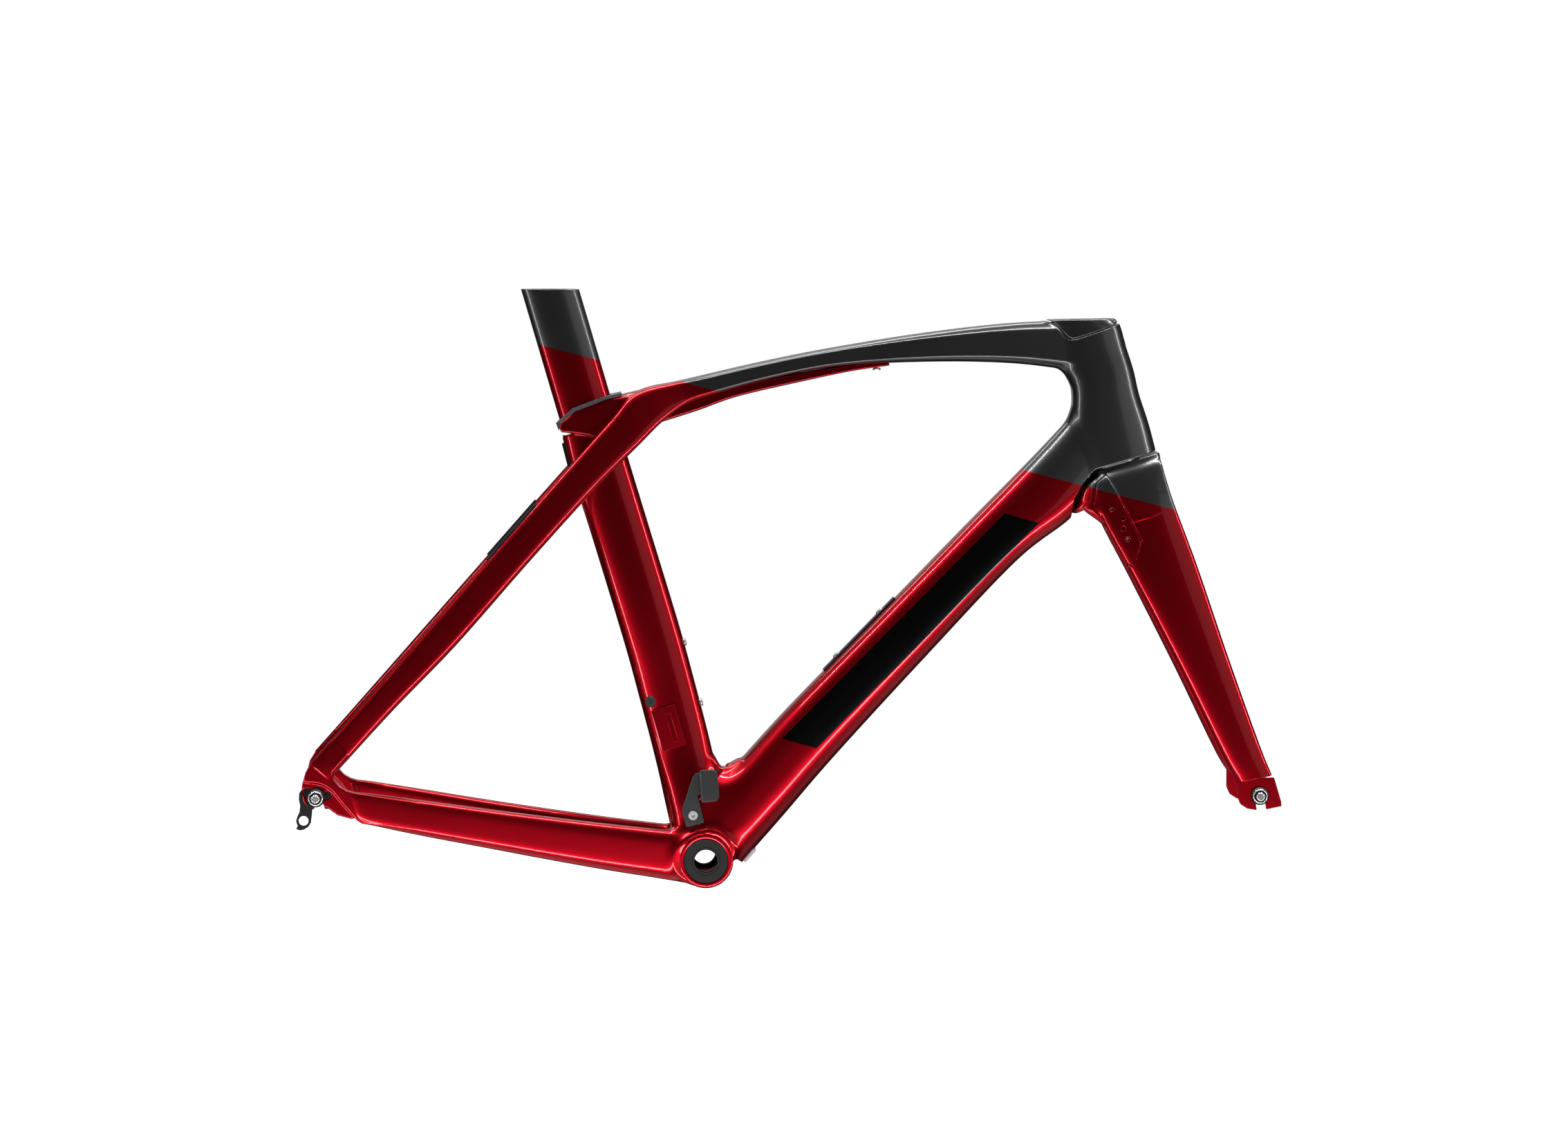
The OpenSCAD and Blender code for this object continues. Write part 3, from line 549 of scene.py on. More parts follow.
def paint(name, two_tone=True, only=None, band=False):
    """Candy red below one slanted line and metallic grey above it, with fine flake, under a clear coat."""
    m, nodes, links, bsdf = new_mat(name)
    sock(bsdf, Metallic=0.92, Roughness=0.42, Coat_Weight=0.5, Coat_Roughness=0.03, Coat_IOR=1.5, IOR=1.4)
    flake, tc = noise(nodes, links, 2600.0, 2.0)
    cloud, _ = noise(nodes, links, 9.0, 2.0, tc)
    fl = math_node(nodes, links, "MULTIPLY_ADD", flake.outputs["Fac"], 1.1, -0.05, clamp=True)
    red = mix_colour(nodes, links, fl, RED2, RED)
    grey = mix_colour(nodes, links, fl, GREY2, GREY)
    if only == "grey":
        col = grey
    elif only == "red":
        col = red
    else:
        sep = nodes.new("ShaderNodeSeparateXYZ")
        links.new(tc.outputs["Object"], sep.inputs[0])
        x, z = sep.outputs["X"], sep.outputs["Z"]
        line = math_node(nodes, links, "MULTIPLY_ADD", x, 0.2565, -0.4055 - 0.2565 * 0.333)
        over = math_node(nodes, links, "ADD", z, line)
        mask = math_node(nodes, links, "MULTIPLY_ADD", over, 4000.0, 0.5, clamp=True)
        if band:
            # one plain long band on each side of the down tube: along and across it
            ax, az, bx, bz = 0.0975, 0.1215, 0.3285, 0.3565
            L = math.hypot(bx - ax, bz - az)
            ux, uz = (bx - ax) / L, (bz - az) / L
            al = math_node(nodes, links, "ADD", math_node(nodes, links, "MULTIPLY_ADD", x, ux, -ax * ux - az * uz), math_node(nodes, links, "MULTIPLY", z, uz))
            ac = math_node(nodes, links, "ADD", math_node(nodes, links, "MULTIPLY_ADD", x, -uz, ax * uz - az * ux), math_node(nodes, links, "MULTIPLY", z, ux))
            sl = math_node(nodes, links, "MULTIPLY_ADD", ac, 0.55, al)
            e1 = math_node(nodes, links, "MULTIPLY_ADD", sl, 4000.0, 0.5, clamp=True)
            e2 = math_node(nodes, links, "MULTIPLY_ADD", sl, -4000.0, 4000.0 * L, clamp=True)
            aa = math_node(nodes, links, "ABSOLUTE", ac)
            e3 = math_node(nodes, links, "MULTIPLY_ADD", aa, -4000.0, 4000.0 * 0.0165, clamp=True)
            bm = math_node(nodes, links, "MULTIPLY", math_node(nodes, links, "MULTIPLY", e1, e2), e3)
            red = mix_colour(nodes, links, bm, red, (0.006, 0.006, 0.007))
        col = mix_colour(nodes, links, mask, red, grey)
    links.new(col, bsdf.inputs["Base Color"])
    rough = math_node(nodes, links, "MULTIPLY_ADD", cloud.outputs["Fac"], 0.04, 0.31)
    links.new(rough, bsdf.inputs["Roughness"])
    bump = nodes.new("ShaderNodeBump")
    bump.inputs["Strength"].default_value = 0.012
    bump.inputs["Distance"].default_value = 0.0002
    links.new(flake.outputs["Fac"], bump.inputs["Height"])
    links.new(bump.outputs["Normal"], bsdf.inputs["Normal"])
    return m


def plain(name, colour, metallic=0.0, rough=0.4, coat=0.0, grain=0.0, grain_scale=900.0, vary=0.15, stretch=None):
    m, nodes, links, bsdf = new_mat(name)
    sock(bsdf, Metallic=metallic, Coat_Weight=coat, Coat_Roughness=0.1)
    a, tc = noise(nodes, links, 35.0, 4.0)
    links.new(mix_colour(nodes, links, a.outputs["Fac"], tuple(c * (1 - vary) for c in colour), tuple(min(1, c * (1 + vary)) for c in colour)), bsdf.inputs["Base Color"])
    links.new(math_node(nodes, links, "MULTIPLY_ADD", a.outputs["Fac"], 0.14, rough - 0.07), bsdf.inputs["Roughness"])
    if grain:
        g, _ = noise(nodes, links, grain_scale, 2.0, tc)
        if stretch:
            mp = nodes.new("ShaderNodeMapping")
            mp.inputs["Scale"].default_value = stretch
            links.new(tc.outputs["Object"], mp.inputs["Vector"])
            links.new(mp.outputs["Vector"], g.inputs["Vector"])
        bump = nodes.new("ShaderNodeBump")
        bump.inputs["Strength"].default_value = grain
        bump.inputs["Distance"].default_value = 0.0002
        links.new(g.outputs["Fac"], bump.inputs["Height"])
        links.new(bump.outputs["Normal"], bsdf.inputs["Normal"])
    return m


M_PAINT = paint("paint_two_tone")
M_DOWN = paint("paint_with_band", band=True)
M_RED = paint("paint_red", only="red")
M_GREY = paint("paint_grey", only="grey")
M_BLACK = plain("black_moulding", (0.012, 0.012, 0.013), rough=0.42, grain=0.25)
M_KEEP = plain("grey_moulding", (0.024, 0.0245, 0.025), rough=0.36, grain=0.4, grain_scale=1400)
M_ANOD = plain("black_anodised", (0.018, 0.018, 0.02), metallic=0.6, rough=0.38, grain=0.2)
M_RUB = plain("rubber", (0.03, 0.03, 0.032), rough=0.65, grain=0.5)
M_SEAL = plain("seal_rubber", (0.004, 0.004, 0.0045), rough=0.62, grain=0.3)
M_STEEL = plain("steel", (0.62, 0.62, 0.62), metallic=0.65, rough=0.34, grain=0.08)
M_DARK = plain("dark_steel", (0.03, 0.03, 0.033), metallic=0.9, rough=0.28)
M_ALU = plain("alloy", (0.5, 0.5, 0.51), metallic=0.8, rough=0.32, grain=0.1, grain_scale=300, stretch=(1, 12, 1))
M_CHROME = plain("chrome", (0.85, 0.85, 0.86), metallic=0.9, rough=0.14, vary=0.03)
M_TRIM = plain("grey_trim", (0.11, 0.113, 0.12), metallic=0.3, rough=0.42, grain=0.2)
M_PALE = plain("pale_port", (0.72, 0.72, 0.72), rough=0.4, grain=0.2)
M_CARBON = plain("bare_carbon", (0.012, 0.012, 0.013), rough=0.32, coat=0.6, grain=0.15)


def dress(ob, mat, slot=None):
    ob.data.materials.clear()
    ob.data.materials.append(mat)
    if slot:
        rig.slot(ob, slot)
    return ob


# ---------------------------------------------------------------- pieces from the fields
HEAD = Loft(K_head)
COVER = [(330,562.4),(352.6,561.4),(359,559.6),(363.8,556.8),(368,551.5),(373,545.4),(376.4,542.8),(380,541.9),(384,542.4),(410,550.9),(427.5,557.7),(450,566.5),(450,600),(330,600)]


def over_cover(x, z, Y):
    return poly_sdf(COVER, x, z)


def axis_rs(x, z, Y, origin):
    dx, dz = x - origin[0], z - origin[1]
    s = dx * UP[0] + dz * UP[1]
    p = dx * FWD[0] + dz * FWD[1]
    return np.sqrt(p * p + Y * Y), s, p


ROOM = [(-1,1.6),(32,1.6),(34,1),(46,-9),(57,-21),(60.5,-30),(61.5,-37),(61.5,-190),(-1,-190)]


def fork_room(x, z, Y):
    r, s, p = axis_rs(x, z, Y, AXIS)
    return np.minimum(poly_sdf(ROOM, r, s), np.maximum(s - 1.6, -6 - p))


def mast_hole(x, z, Y, g=1.3, lo=-15.5):
    r, s, p = axis_rs(x, z, Y, PIVOT)
    a, b, n = 29 + g, 16.5 + g, 2.3
    U, V = np.abs(p) / a + 1e-6, np.abs(Y) / b + 1e-6
    rho = (U ** n + V ** n) ** (1 / n)
    F = (rho - 1) / np.sqrt(((U / rho) ** (n - 1) / a) ** 2 + ((V / rho) ** (n - 1) / b) ** 2)
    return np.maximum(F, lo - s)


CLUSTER = [(-152.6,448.4),(-150.4,445.2),(-129,443),(-112,439.6),(-84,428.5),(-60,450),(-56,486.5),(-76,483.2),(-104,478.7),(-134.5,467.8),(-150.4,455)]


class Prism(Barrel):
    """The seat cluster's cheek: an outline across the frame with flat sides and rounded edges."""

    def __init__(self, pts, half, edge):
        self.pts, self.half, self.edge = pts, half, edge

    def columns(self, x, z, margin):
        d = poly_sdf(self.pts, x, z)
        rows = np.nonzero(d < margin)[0]
        return rows, (d[rows][:, None],)

    def field(self, q, Y):
        d = q[0]
        side = np.abs(Y) - self.half
        F = smax(d + 0 * Y, side, self.edge)
        on = np.clip(0.5 + (side - d) / 6, 0, 1)
        return F, 0 * F, np.sign(Y) * on, 1 - on


def bb_bore(x, z, Y):
    r = np.hypot(x, z)
    return np.minimum(r - 16.8, np.maximum(r - 18.5, 35.5 - np.abs(Y)))


class Plate(Barrel):
    """An outline across the frame between two distances from the middle, on one side."""

    def __init__(self, pts, y0, y1, edge, fall=None):
        self.pts, self.yc, self.y0, self.y1, self.edge, self.fall = pts, (y0 + y1) / 2, abs(y0), abs(y1), edge, fall

    def columns(self, x, z, margin):
        d = poly_sdf(self.pts, x, z)
        rows = np.nonzero(d < margin)[0]
        drop = self.fall(x[rows], z[rows]) if self.fall else 0 * d[rows]
        return rows, (d[rows][:, None], drop[:, None])

    def field(self, q, Y):
        d, y = q[0], Y * np.sign(self.yc)
        side = np.maximum(y - self.y1 + q[1], self.y0 - y)
        F = smax(d + 0 * Y, side, self.edge)
        on = np.clip(0.5 + (side - d) / 5, 0, 1)
        return F, 0 * F, np.sign(Y - self.yc) * on, 1 - on


# rear dropouts: raised end of the two stays, its bevelled upper side, and the plate behind the ridge
END = rounded([(-417.2,85.2),(-414.7,94.8),(-410,102.5),(-403,110),(-386,129),(-372,114),(-388.6,94.8),(-386.4,91),(-384.7,87),(-378.7,80.5),(-372,76.6),(-364,74.2),(-346,71.4),
               (-300,63),(-300,37),(-336,40),(-346,40.8),(-356,42),(-361.3,45.3),(-376.6,62.9),(-386,75),(-392.9,80.3),(-398.4,82.9),(-404.9,84.4)], 3.5)
BEHIND = rounded([(-417.2,87),(-418.5,80.5),(-418,71.7),(-416.9,64.1),(-413.5,61.2),(-408.2,60),(-392.4,59.2),(-387.5,55),(-381,50.6),(-366,46.6),(-362,50),(-376,72),(-397,89)], 2.2)


def end_fall(x, z):
    u, v = x + 345, z - 104
    return 0.076 * (np.sqrt(u * u + 100) + u) + 0.06 * (np.sqrt(v * v + 36) + v)


def axle_slot(x, z, Y):
    dx, dz = x + 404, z - 69
    c, t = math.cos(math.radians(20)), math.sin(math.radians(20))
    u, w = dx * c + dz * t, -dx * t + dz * c
    d = np.minimum(np.hypot(dx, dz) - 5.15, np.maximum(np.abs(u) - 5, w)) + 0 * Y
    lobe = np.hypot(dx, dz) - 10.35
    for a, b in ((-413.5, 75.3), (-392.2, 71.7)):
        lobe = np.minimum(lobe, np.hypot(x - a, z - b) - 3.9)
    return np.minimum(d, np.maximum(lobe + 0 * Y, Y + 60))


FRAME = [Add(Loft(K_down), 1)]
FRAME += [Add(Loft(K_seat), 36), Add(Barrel(0, 0, 27.8, -41.5, 41.5, 2.4), 16, 3)]
FRAME += [Add(Loft(K_cstay, s, flat=0.9, edge=1.4), 16, 3) for s in (-1, 1)]
FRAME += [Add(HEAD, 12), Add(Loft(K_top, flat=0.86, edge=1.4), 11)]
FRAME += [Add(Loft(K_sstay, s, flat=0.9, edge=1.4), 5, 2) for s in (-1, 1)]
for s in (-1, 1):
    FRAME += [Add(Plate(END, 59.5 * s, 71.3 * s, 1.6, end_fall), 3, 2), Add(Plate(BEHIND, (65 if s > 0 else 68.1) * s, (69 if s > 0 else 70) * s, 1.2), 1.6, 1.2)]
FRAME += [Add(Prism(rounded([(0,78),(7,106),(16.5,94.6),(26,94.2),(36,102),(36,78)], 6), 13, 5), 9, 8), Cut((-421, 38, -385, 86), axle_slot, 0.7)]
FRAME += [Add(Prism(CLUSTER, 21, 2.2), 2.5, 1.5)]
FRAME += [Cut((330, 530, 460, 620), over_cover, 1.6), Cut((360, 330, 480, 460), fork_room, 1.8),
          Cut((-215, 430, -60, 620), mast_hole, 1.6), Cut((-30, -30, 30, 30), bb_bore, 0.8)]
FINE = {"rear_end_shell": ((-424, 30, -332, 124), 76), "bb_area_shell": ((-48, -36, 66, 84), 50), "cluster_shell": ((-140, 424, 2, 510), 44)}
frame_shell = shell("frame_shell", FRAME, (-425, -78, -33, 480, 78, 572), CELL, [b for b, _ in FINE.values()])
dress(frame_shell, M_DOWN, "frame_red")
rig.ride(frame_shell, "frame")
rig.replaces(frame_shell, "head_tube", "top_tube", "down_tube", "seat_tube", "seat_cluster", "chainstay_left", "chainstay_right",
            "seatstay_left", "seatstay_right", "rear_dropout_left", "rear_dropout_right")
for name, (b, y) in FINE.items():
    part = shell(name, FRAME, (b[0], -y, b[1], b[2], y, b[3]), 1.2 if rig.quick() else 0.8)
    dress(part, M_DOWN, "frame_red")
    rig.ride(part, "frame")

# top cover: the same head, above the cover line
COVER_TOP = [(x, z + 1.0) for x, z in COVER]
cover_ops = [Add(HEAD, 1), Add(Loft(K_top[4:], flat=0.86, edge=1.4), 14),
             Keep(None, lambda x, z, Y: poly_sdf([(353.6,562.3),(360,560.6),(364.8,557.8),(369,552.4),(374,546.3),(377,543.9),(380.4,543.0),(384,543.4),(410,551.9),(427,558.6),(429.5,561.2),(428,563.8),(400,562.9)], x, z), 1.4),
             Cut((380, 530, 440, 600), lambda x, z, Y: axis_rs(x, z, Y, AXIS)[0] - 14.9, 1.0)]
top_cover = shell("top_cover_shell", cover_ops, (348, -30, 536, 436, 30, 572), 0.9 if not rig.quick() else 1.4)
dress(top_cover, M_GREY, "cover_grey")
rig.ride(top_cover, "frame")
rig.replaces(top_cover, "top_cover")

# black gasket under the cover, seen only through the gap round it
seat_ops = [Add(HEAD, 1), Add(Loft(K_top[4:], flat=0.86, edge=1.4), 14),
            Keep(None, lambda x, z, Y: poly_sdf([(357,558),(362,556),(368,548),(374,539.5),(380,537.5),(386,539),(410,547),(424,552.5),(421,559),(410,555),(384,546),(378,547),(370,556),(364,560)], x, z), 1),
            Keep(None, lambda x, z, Y: np.abs(Y) - 20.5 + 0 * x, 1),
            Cut((380, 520, 450, 600), lambda x, z, Y: axis_rs(x, z, Y, AXIS)[0] - 27.5, 0.5)]
gasket = shell("cover_gasket", seat_ops, (350, -24, 530, 430, 24, 566), 1.2)
dress(gasket, M_RUB)
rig.ride(gasket, "frame")

# derailleur hanger
HANGER = rounded([(-419.8,75.7),(-421.2,73.5),(-421.4,66.9),(-420.1,60.4),(-420.9,53.8),(-423.1,49.4),(-424.4,44.4),(-422.6,39.5),(-424.6,36.4),(-419.9,35),(-415.8,36),
                  (-411.7,38.6),(-408.9,42.8),(-407.9,51.6),(-407.3,57.2),(-400,57.5),(-391,57.2),(-388,60),(-386,70),(-392,80),(-404,84),(-414,82)], 1.2)


def hanger_hole(x, z, Y):
    return np.hypot(x + 416.5, z - 45) - 5.0 + 0 * Y


def lobe_outline(n=96):
    out = []
    for t in range(n):
        c, w = math.cos(2 * math.pi * t / n), math.sin(2 * math.pi * t / n)
        r = 10.1
        for a, b in ((-9.5, 6.3), (11.8, 2.7)):
            k = 3.65 ** 2 - (a * w - b * c) ** 2
            if k > 0 and a * c + b * w > 0:
                r = max(r, a * c + b * w + math.sqrt(k))
        out.append((-404 + r * c, max(69 + r * w, 59.0)))
    return out


def hanger_slot(x, z, Y):
    dx, dz = x + 404, z - 69
    c, t = math.cos(math.radians(20)), math.sin(math.radians(20))
    u, w = dx * c + dz * t, -dx * t + dz * c
    return np.minimum(np.hypot(dx, dz) - 5.15, np.maximum(np.abs(u) - 5, w)) + 0 * Y


hanger = shell("hanger_body", [Add(Plate(HANGER, -65.0, -68.1, 0.7), 1), Add(Plate(lobe_outline(), -66.0, -71.4, 0.6), 0.6),
                               Cut((-424, 38, -409, 52), hanger_hole, 0.6), Cut((-421, 38, -385, 86), hanger_slot, 0.5)],
               (-427, -73, 33, -383, -63.5, 87), 0.6)
dress(hanger, M_ANOD)
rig.ride(hanger, "frame")
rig.replaces(hanger, "derailleur_hanger")

# chain keeper
ARM = rounded([(-7,91.5),(-11.3,91.4),(-13.8,88),(-24.7,54.5),(-24.7,50),(-20.5,35.5),(-18,35.3),(-2.2,40),(-2.2,42.6),(-8,67.6),(-5.5,71.5)], 1.6)
SHOE = rounded([(-7.1,95),(9,95.3),(12,92),(13.8,67.6),(10.8,62.8),(-5,61)], 2.6)


def keeper_hole(x, z, Y):
    return np.hypot(x + 13.4, z - 47.6) - 2.6 + 0 * Y


keeper = shell("keeper_body", [Add(Plate(ARM, -37.9, -40.8, 0.8), 1), Add(Plate(SHOE, -38.8, -46.5, 1.3), 0.8), Cut((-18, 43, -9, 52), keeper_hole, 0.5)],
               (-28, -49, 33, 17, -35, 98), 0.6)
dress(keeper, M_KEEP)
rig.ride(keeper, "keeper")
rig.replaces(keeper, "chain_keeper")

# fork
def wheel_room(x, z, Y):
    return np.maximum(np.hypot(x - 576, z - 69) - 347, np.abs(Y) - 23.5)


def above_crown(x, z, Y):
    _, s, _ = axis_rs(x, z, Y, AXIS)
    return s + 0 * Y


def slab(g):
    pts = [(410.5,412.7),(427,384),(450,338),(452,333),(443.6,307.5),(418,314),(370,346),(370,378),(390,416)]

    def f(x, z, Y):
        y = np.abs(Y)
        c, s = math.cos(math.radians(7.5)), math.sin(math.radians(7.5))
        d = (y - 24) * c + (z - 412) * s          # height over the slanted inner face
        return np.maximum(poly_sdf(pts, x, z) - g, -g - d)
    return f


FORK = [Add(Loft(K_crown), 1)]
for s in (-1, 1):
    FORK += [Add(Loft(K_cheek + K_blade, s), 12, 3)]
FORK += [Cut((370, 50, 500, 430), wheel_room, 5), Keep(None, above_crown, 1.6),
         Cut((380, 390, 480, 470), lambda x, z, Y: axis_rs(x, z, Y, AXIS)[0] - 19.1, 0.8)]
CROWN_BOX = (376, 336, 500, 432)
fork_cut = FORK + [Cut((370, 290, 470, 420), slab(0.3), 0.8)]
fork_shell = shell("fork_shell", fork_cut, (378, -62, 78, 605, 62, 430), min(CELL, 1.3), [CROWN_BOX])
crown = shell("crown_shell", fork_cut, (376, -48, 336, 500, 48, 432), 1.2 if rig.quick() else 0.8)
dress(crown, M_PAINT, "frame_red")
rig.ride(crown, "fork")
dress(fork_shell, M_PAINT, "frame_red")
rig.ride(fork_shell, "fork")
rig.replaces(fork_shell, "fork_crown", "fork_blade_left", "fork_blade_right")


def screw_holes(x, z, Y):
    h = [(421.2, 366, 1.9), (433.3, 356.4, 1.7), (433.6, 346, 2.3), (438, 335.4, 2.3)]
    d = np.minimum.reduce([np.hypot(x - a, z - b) - r for a, b, r in h])
    return d + 0 * Y


for s, nm in ((-1, "right"), (1, "left")):
    one = lambda x, z, Y, s=s: np.maximum(slab(0.0)(x, z, Y), -Y * s)
    cover = shell("brake_cover_shell_" + nm, FORK + [Keep(None, one, 0.9), Cut((415, 325, 445, 372), screw_holes, 0.5)],
                  (378, -62 if s < 0 else 10, 296, 470, -10 if s < 0 else 62, 420), 0.9 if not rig.quick() else 1.3)
    dress(cover, M_PAINT, "frame_red")
    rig.ride(cover, "fork")
    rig.replaces(cover, "brake_cover_" + nm)


# ---------------------------------------------------------------- swept pieces
def sweep(name, rings, cap0=True, cap1=True):
    n = len(rings[0])
    P = np.array([p for r in rings for p in r], float) / 1000
    Q = [(k * n + i, k * n + (i + 1) % n, (k + 1) * n + (i + 1) % n, (k + 1) * n + i) for k in range(len(rings) - 1) for i in range(n)]
    me = bpy.data.meshes.new(name)
    caps = ([tuple(range(n))[::-1]] if cap0 else []) + ([tuple((len(rings) - 1) * n + i for i in range(n))] if cap1 else [])
    me.from_pydata(P.tolist(), [], Q + caps)
    bm = bmesh.new()
    bm.from_mesh(me)
    bmesh.ops.recalc_face_normals(bm, faces=bm.faces)
    bm.to_mesh(me)
    bm.free()
    me.polygons.foreach_set("use_smooth", np.ones(len(me.polygons), bool))
    ob = bpy.data.objects.new(name, me)
    scene.collection.objects.link(ob)
    return ob


def sp(v, e):
    return math.copysign(abs(v) ** e, v)


# seat mast: outside, rolled rim, inside
def mast_ring(s, g, n=96, flat_z=None):
    out = []
    for i in range(n):
        a = 2 * math.pi * i / n
        p, y = (29 - g) * sp(math.cos(a), 2 / 2.3), (16.5 - g) * sp(math.sin(a), 2 / 2.3)
        ss = s
        if flat_z is not None:          # the ring lies level at that height
            ss = (flat_z - PIVOT[1] - p * FWD[1]) / UP[1]
        out.append((PIVOT[0] + p * FWD[0] + ss * UP[0], y, PIVOT[1] + p * FWD[1] + ss * UP[1]))
    return out


rings = [mast_ring(-11.4, 2.2), mast_ring(-12, 1.7), mast_ring(-12, 0.5), mast_ring(-11.5, 0.0)]
rings += [mast_ring(s, 0.0) for s in np.linspace(-8, 100, 12)]
rings += [mast_ring(0, g, flat_z=z) for g, z in ((0, 588), (0, 592.2), (0.15, 592.7), (0.5, 593), (1.0, 593), (1.8, 593), (2.1, 592.7), (2.2, 592.2), (2.2, 588))]
rings += [mast_ring(s, 2.2) for s in np.linspace(100, -8, 6)]
mast = sweep("seat_mast_shell", rings + [rings[0]], False, False)
bm = bmesh.new(); bm.from_mesh(mast.data); bmesh.ops.remove_doubles(bm, verts=bm.verts, dist=1e-6); bmesh.ops.recalc_face_normals(bm, faces=bm.faces); bm.to_mesh(mast.data); bm.free()
dress(mast, M_PAINT, "frame_grey")
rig.ride(mast, "mast")
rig.replaces(mast, "seat_mast")


def lathe(name, x, z, prof, mat, body, n=128, slot=None):
    rows = [[(x + r * math.cos(2 * math.pi * i / n), y, z + r * math.sin(2 * math.pi * i / n)) for i in range(n)] for r, y in prof]
    ob = sweep(name, rows, False, False)
    bm = bmesh.new(); bm.from_mesh(ob.data); bmesh.ops.remove_doubles(bm, verts=bm.verts, dist=1e-6); bmesh.ops.recalc_face_normals(bm, faces=bm.faces); bm.to_mesh(ob.data); bm.free()
    dress(ob, mat, slot)
    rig.ride(ob, body)
    return ob


def closed(prof):
    return prof + [prof[0]]


rim = [(18.6, 35.5), (22.6, 35.6), (22.7, 42.4), (22.9, 42.8), (23.3, 43), (26.6, 43), (27.4, 42.8), (28.1, 42.4), (28.5, 41.8), (28.7, 41.1), (28.7, 34), (28.2, 30), (20, 30), (18.6, 31)]
for s, nm in ((-1, "right"), (1, "left")):
    ring = lathe("bb_rim_" + nm, 0, 0, closed([(r, y * s) for r, y in rim]), M_RED, "frame", slot="frame_red")
    if s < 0:
        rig.replaces(ring, "bb_shell")

# skewer nuts: knurled black body, bright ring, small end
for nm, body, x, z, y0 in (("rear", "frame", -404, 69, -72.0), ("front", "fork", 576, 69, -56.0)):
    rows = []
    for r, y in closed([(2.7, 0), (8.8, 0), (9.5, 0.4), (9.5, 2.6), (9.2, 3.1), (8.4, 3.6), (7.9, 4.2), (7.7, 5.6), (5.6, 6.0), (5.2, 5.0), (2.7, 5.0)]):
        rows.append([(x + (r - (0.25 if r > 8.5 and i % 8 < 3 else 0)) * math.cos(2 * math.pi * i / 160), y0 - y, z + (r - (0.25 if r > 8.5 and i % 8 < 3 else 0)) * math.sin(2 * math.pi * i / 160)) for i in range(160)])
    nut = sweep(nm + "_nut_body", rows, False, False)
    bm = bmesh.new(); bm.from_mesh(nut.data); bmesh.ops.remove_doubles(bm, verts=bm.verts, dist=1e-6); bmesh.ops.recalc_face_normals(bm, faces=bm.faces); bm.to_mesh(nut.data); bm.free()
    dress(nut, M_ANOD)
    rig.ride(nut, body)
    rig.replaces(nut, nm + "_skewer_nut")
    lathe(nm + "_nut_ring", x, z, closed([(6.1, y0 - 5.2), (7.75, y0 - 5.2), (7.75, y0 - 5.7), (7.35, y0 - 6.3), (6.9, y0 - 6.5), (6.4, y0 - 6.3), (6.1, y0 - 5.8)]), M_CHROME, body)
    lathe(nm + "_nut_end", x, z, closed([(2.65, y0 - 4.4), (4.6, y0 - 4.4), (4.6, y0 - 9.6), (4.2, y0 - 10.5), (3.6, y0 - 10.9), (3.0, y0 - 10.7), (2.65, y0 - 10.1)]), M_CHROME, body)


# ---------------------------------------------------------------- CAD parts with rounded edges
def refine(node, mat, bevel=0.4, slot=None, segs=2, angle=32, subset=None):
    """A copy of a CAD node with its flat faces joined up and its edges rounded."""
    src = NODE[node]
    bm = bmesh.new()
    bm.from_mesh(src.data)
    bmesh.ops.remove_doubles(bm, verts=bm.verts, dist=2e-6)
    bmesh.ops.dissolve_limit(bm, angle_limit=math.radians(1.0), verts=bm.verts, edges=bm.edges)
    edges = [e for e in bm.edges if len(e.link_faces) == 2 and e.calc_face_angle(0) > math.radians(angle)]
    if bevel:
        try:
            bmesh.ops.bevel(bm, geom=edges, offset=bevel / 1000, segments=segs, profile=0.5, affect="EDGES", clamp_overlap=True, loop_slide=True)
        except Exception:
            pass
    me = bpy.data.meshes.new(node + "_piece")
    bm.to_mesh(me)
    bm.free()
    me.polygons.foreach_set("use_smooth", np.ones(len(me.polygons), bool))
    me.set_sharp_from_angle(angle=math.radians(40))
    ob = bpy.data.objects.new(node + "_piece", me)
    scene.collection.objects.link(ob)
    w = ob.modifiers.new("weighted", "WEIGHTED_NORMAL")
    w.keep_sharp = True
    dress(ob, mat, slot)
    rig.ride(ob, src["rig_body"])
    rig.replaces(ob, node)
    return ob


for node, mat, bevel in (
    ("derailleur_mount_insert", M_RED, 1.3),
    ("front_dropout_left", M_RED, 0.7), ("front_dropout_right", M_RED, 0.7),
    ("chain_keeper_bolt", M_STEEL, 0.25), ("flex_slider", M_BLACK, 0.4),
    ("rear_brake_plate", M_BLACK, 0.5), ("rear_cable_port", M_BLACK, 0.7), ("control_cover", M_BLACK, 0.5),
    ("bb_port_cover", M_PALE, 0.6), ("head_port_plug", M_BLACK, 0.3), ("rubber_plug", M_RUB, 0.3),
    ("front_skewer_lever", M_ALU, 0.8), ("rear_skewer_lever", M_ALU, 0.8),
    ("bb_seals", M_SEAL, 0.3), ("mast_collar", M_TRIM, 0.3),
):
    refine(node, mat, bevel)

for node, mat in (
    ("hanger_bolts", M_DARK), ("beam_bolt", M_STEEL), ("mast_pivot_axle", M_ALU),
    ("bottle_bolts", M_STEEL), ("seat_tube_bottle_bolts", M_STEEL), ("bb_outer_races", M_STEEL), ("bb_balls", M_CHROME),
    ("bb_inner_race_left", M_SEAL), ("bb_inner_race_right", M_SEAL), ("upper_headset_bearing", M_STEEL), ("lower_headset_bearing", M_STEEL),
    ("steerer", M_CARBON), ("brake_cover_screws", M_STEEL), ("crown_race", M_STEEL), ("compression_ring", M_ALU),
    ("mast_pivot_tube", M_ALU), ("front_skewer", M_ALU), ("rear_skewer", M_ALU),
):
    dress(NODE[node], mat)

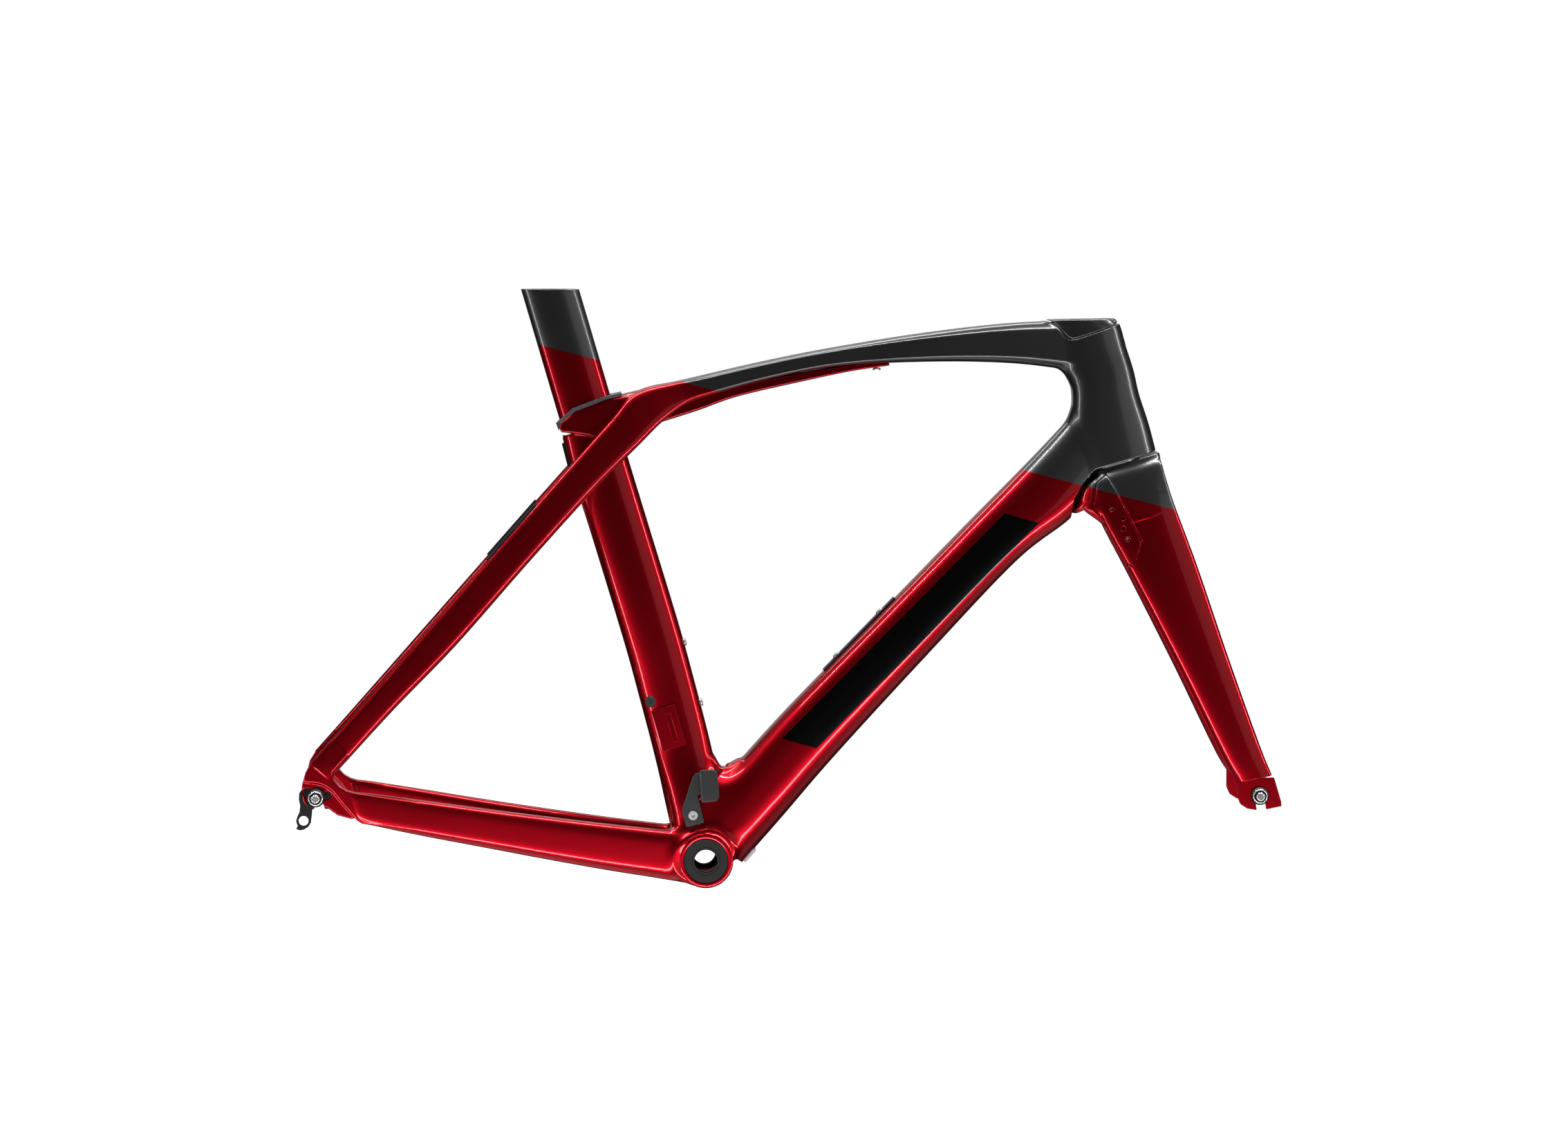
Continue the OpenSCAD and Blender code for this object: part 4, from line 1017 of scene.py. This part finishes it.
beam = shell("flex_beam_shell", [Add(Loft(K_beam, flat=0.85, edge=1.2), 1),
                                 Cut((0, 470, 100, 520), lambda x, z, Y: np.maximum(np.maximum(np.abs((x - 48) * 0.9748 + (z - 496.4) * 0.2232) - 36, np.abs(-(x - 48) * 0.2232 + (z - 496.4) * 0.9748) - 5.2), np.abs(Y) - 6.75), 0.6)],
             (-82, -14, 440, 196, 14, 524), 1.0 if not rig.quick() else 1.5)
dress(beam, M_RED, "frame_red")
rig.ride(beam, "frame")
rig.replaces(beam, "flex_beam")

# ---------------------------------------------------------------- stage, light and camera
me = bpy.data.meshes.new("floor")
n = 64
me.from_pydata([(9 * math.cos(2 * math.pi * i / n), 9 * math.sin(2 * math.pi * i / n), -0.265) for i in range(n)], [], [tuple(range(n))])
floor = bpy.data.objects.new("floor", me)
scene.collection.objects.link(floor)
m, nodes, links, bsdf = new_mat("pale_floor")
sock(bsdf, Base_Color=(0.9, 0.9, 0.9, 1), Roughness=0.9, Emission_Color=(1, 1, 1, 1), Emission_Strength=0.95)
floor.data.materials.append(m)
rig.stage(floor)
floor.visible_glossy = floor.visible_diffuse = False


def light(name, loc, target, sx, sy, power, colour=(1, 1, 1)):
    L = bpy.data.lights.new(name, "AREA")
    L.shape, L.size, L.size_y, L.energy, L.color = "RECTANGLE", sx, sy, power, colour
    o = bpy.data.objects.new(name, L)
    scene.collection.objects.link(o)
    o.location = loc
    o.rotation_euler = (Vector(target) - Vector(loc)).to_track_quat("-Z", "Y").to_euler()
    o.visible_camera = False
    return o


light("top_strip", (0.1, -0.2, 1.7), (0.1, 0, 0.3), 3.4, 0.10, 44)
light("top_back", (0.1, 1.3, 1.6), (0.1, 0, 0.3), 3.0, 0.2, 14)
light("floor_strip", (0.1, -0.75, -0.25), (0.1, 0, 0.3), 3.2, 0.08, 12)
light("left_strip", (-2.3, -0.7, 0.5), (0.1, 0, 0.3), 0.12, 2.2, 14)
light("right_strip", (2.5, -0.7, 0.5), (0.1, 0, 0.3), 0.12, 2.2, 18)
light("side_panel", (2.5, -3.1, 0.6), (0.1, 0, 0.3), 2.4, 2.8, 9)
light("far_panel", (-0.3, 3.3, 1.0), (0.1, 0, 0.3), 2.6, 2.2, 7)

world = bpy.data.worlds.new("studio")
scene.world = world
world.use_nodes = True
wn, wl = world.node_tree.nodes, world.node_tree.links
bg = wn["Background"]
tc = wn.new("ShaderNodeTexCoord")
sep = wn.new("ShaderNodeSeparateXYZ")
wl.new(tc.outputs["Generated"], sep.inputs[0])
X, Y, Z = sep.outputs


def ramp(v, a, b, lo, hi):
    n = wn.new("ShaderNodeMapRange")
    n.interpolation_type = "SMOOTHSTEP"
    n.inputs["From Min"].default_value, n.inputs["From Max"].default_value = a, b
    n.inputs["To Min"].default_value, n.inputs["To Max"].default_value = lo, hi
    wl.new(v, n.inputs["Value"])
    return n.outputs["Result"]


below = ramp(Z, -0.45, -1.0, 0.0, 1.0)
above = ramp(Z, 0.5, 1.0, 0.0, 0.10)
front = ramp(Y, 0.15, 0.8, 1.0, 0.0)
glow = math_node(wn, wl, "MULTIPLY_ADD", math_node(wn, wl, "ADD", below, above), front, 0.012)
lp = wn.new("ShaderNodeLightPath")
mix = wn.new("ShaderNodeMix")
mix.data_type = "FLOAT"
wl.new(lp.outputs["Is Camera Ray"], mix.inputs[0])
wl.new(glow, mix.inputs[2])
mix.inputs[3].default_value = 1.0
wl.new(mix.outputs[0], bg.inputs["Strength"])
bg.inputs["Color"].default_value = (1, 1, 1, 1)

cam_data = bpy.data.cameras.new("camera")
cam = bpy.data.objects.new("camera", cam_data)
scene.collection.objects.link(cam)
C, T = Vector((-0.172, -6.730, 0.752)), Vector((0.082, 0.0, 0.302))
d = (T - C).normalized()
r = d.cross(Vector((0, 0, 1))).normalized()
u = r.cross(d)
roll = math.radians(0.17)
r, u = r * math.cos(roll) + u * math.sin(roll), u * math.cos(roll) - r * math.sin(roll)
cam.matrix_world = Matrix(((r.x, u.x, -d.x, C.x), (r.y, u.y, -d.y, C.y), (r.z, u.z, -d.z, C.z), (0, 0, 0, 1)))
cam_data.sensor_width, cam_data.sensor_fit = 36.0, "HORIZONTAL"
cam_data.lens = 9353.0 / 2268 * 36
cam_data.clip_start, cam_data.clip_end = 0.1, 100
cam_data.dof.use_dof = False
scene.camera = cam
scene.view_settings.view_transform = "Standard"

lo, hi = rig.bounds()
with open("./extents.json", "w") as f:
    json.dump({"cad": [list(CAD_LO), list(CAD_HI)], "visual": [list(lo), list(hi)]}, f)
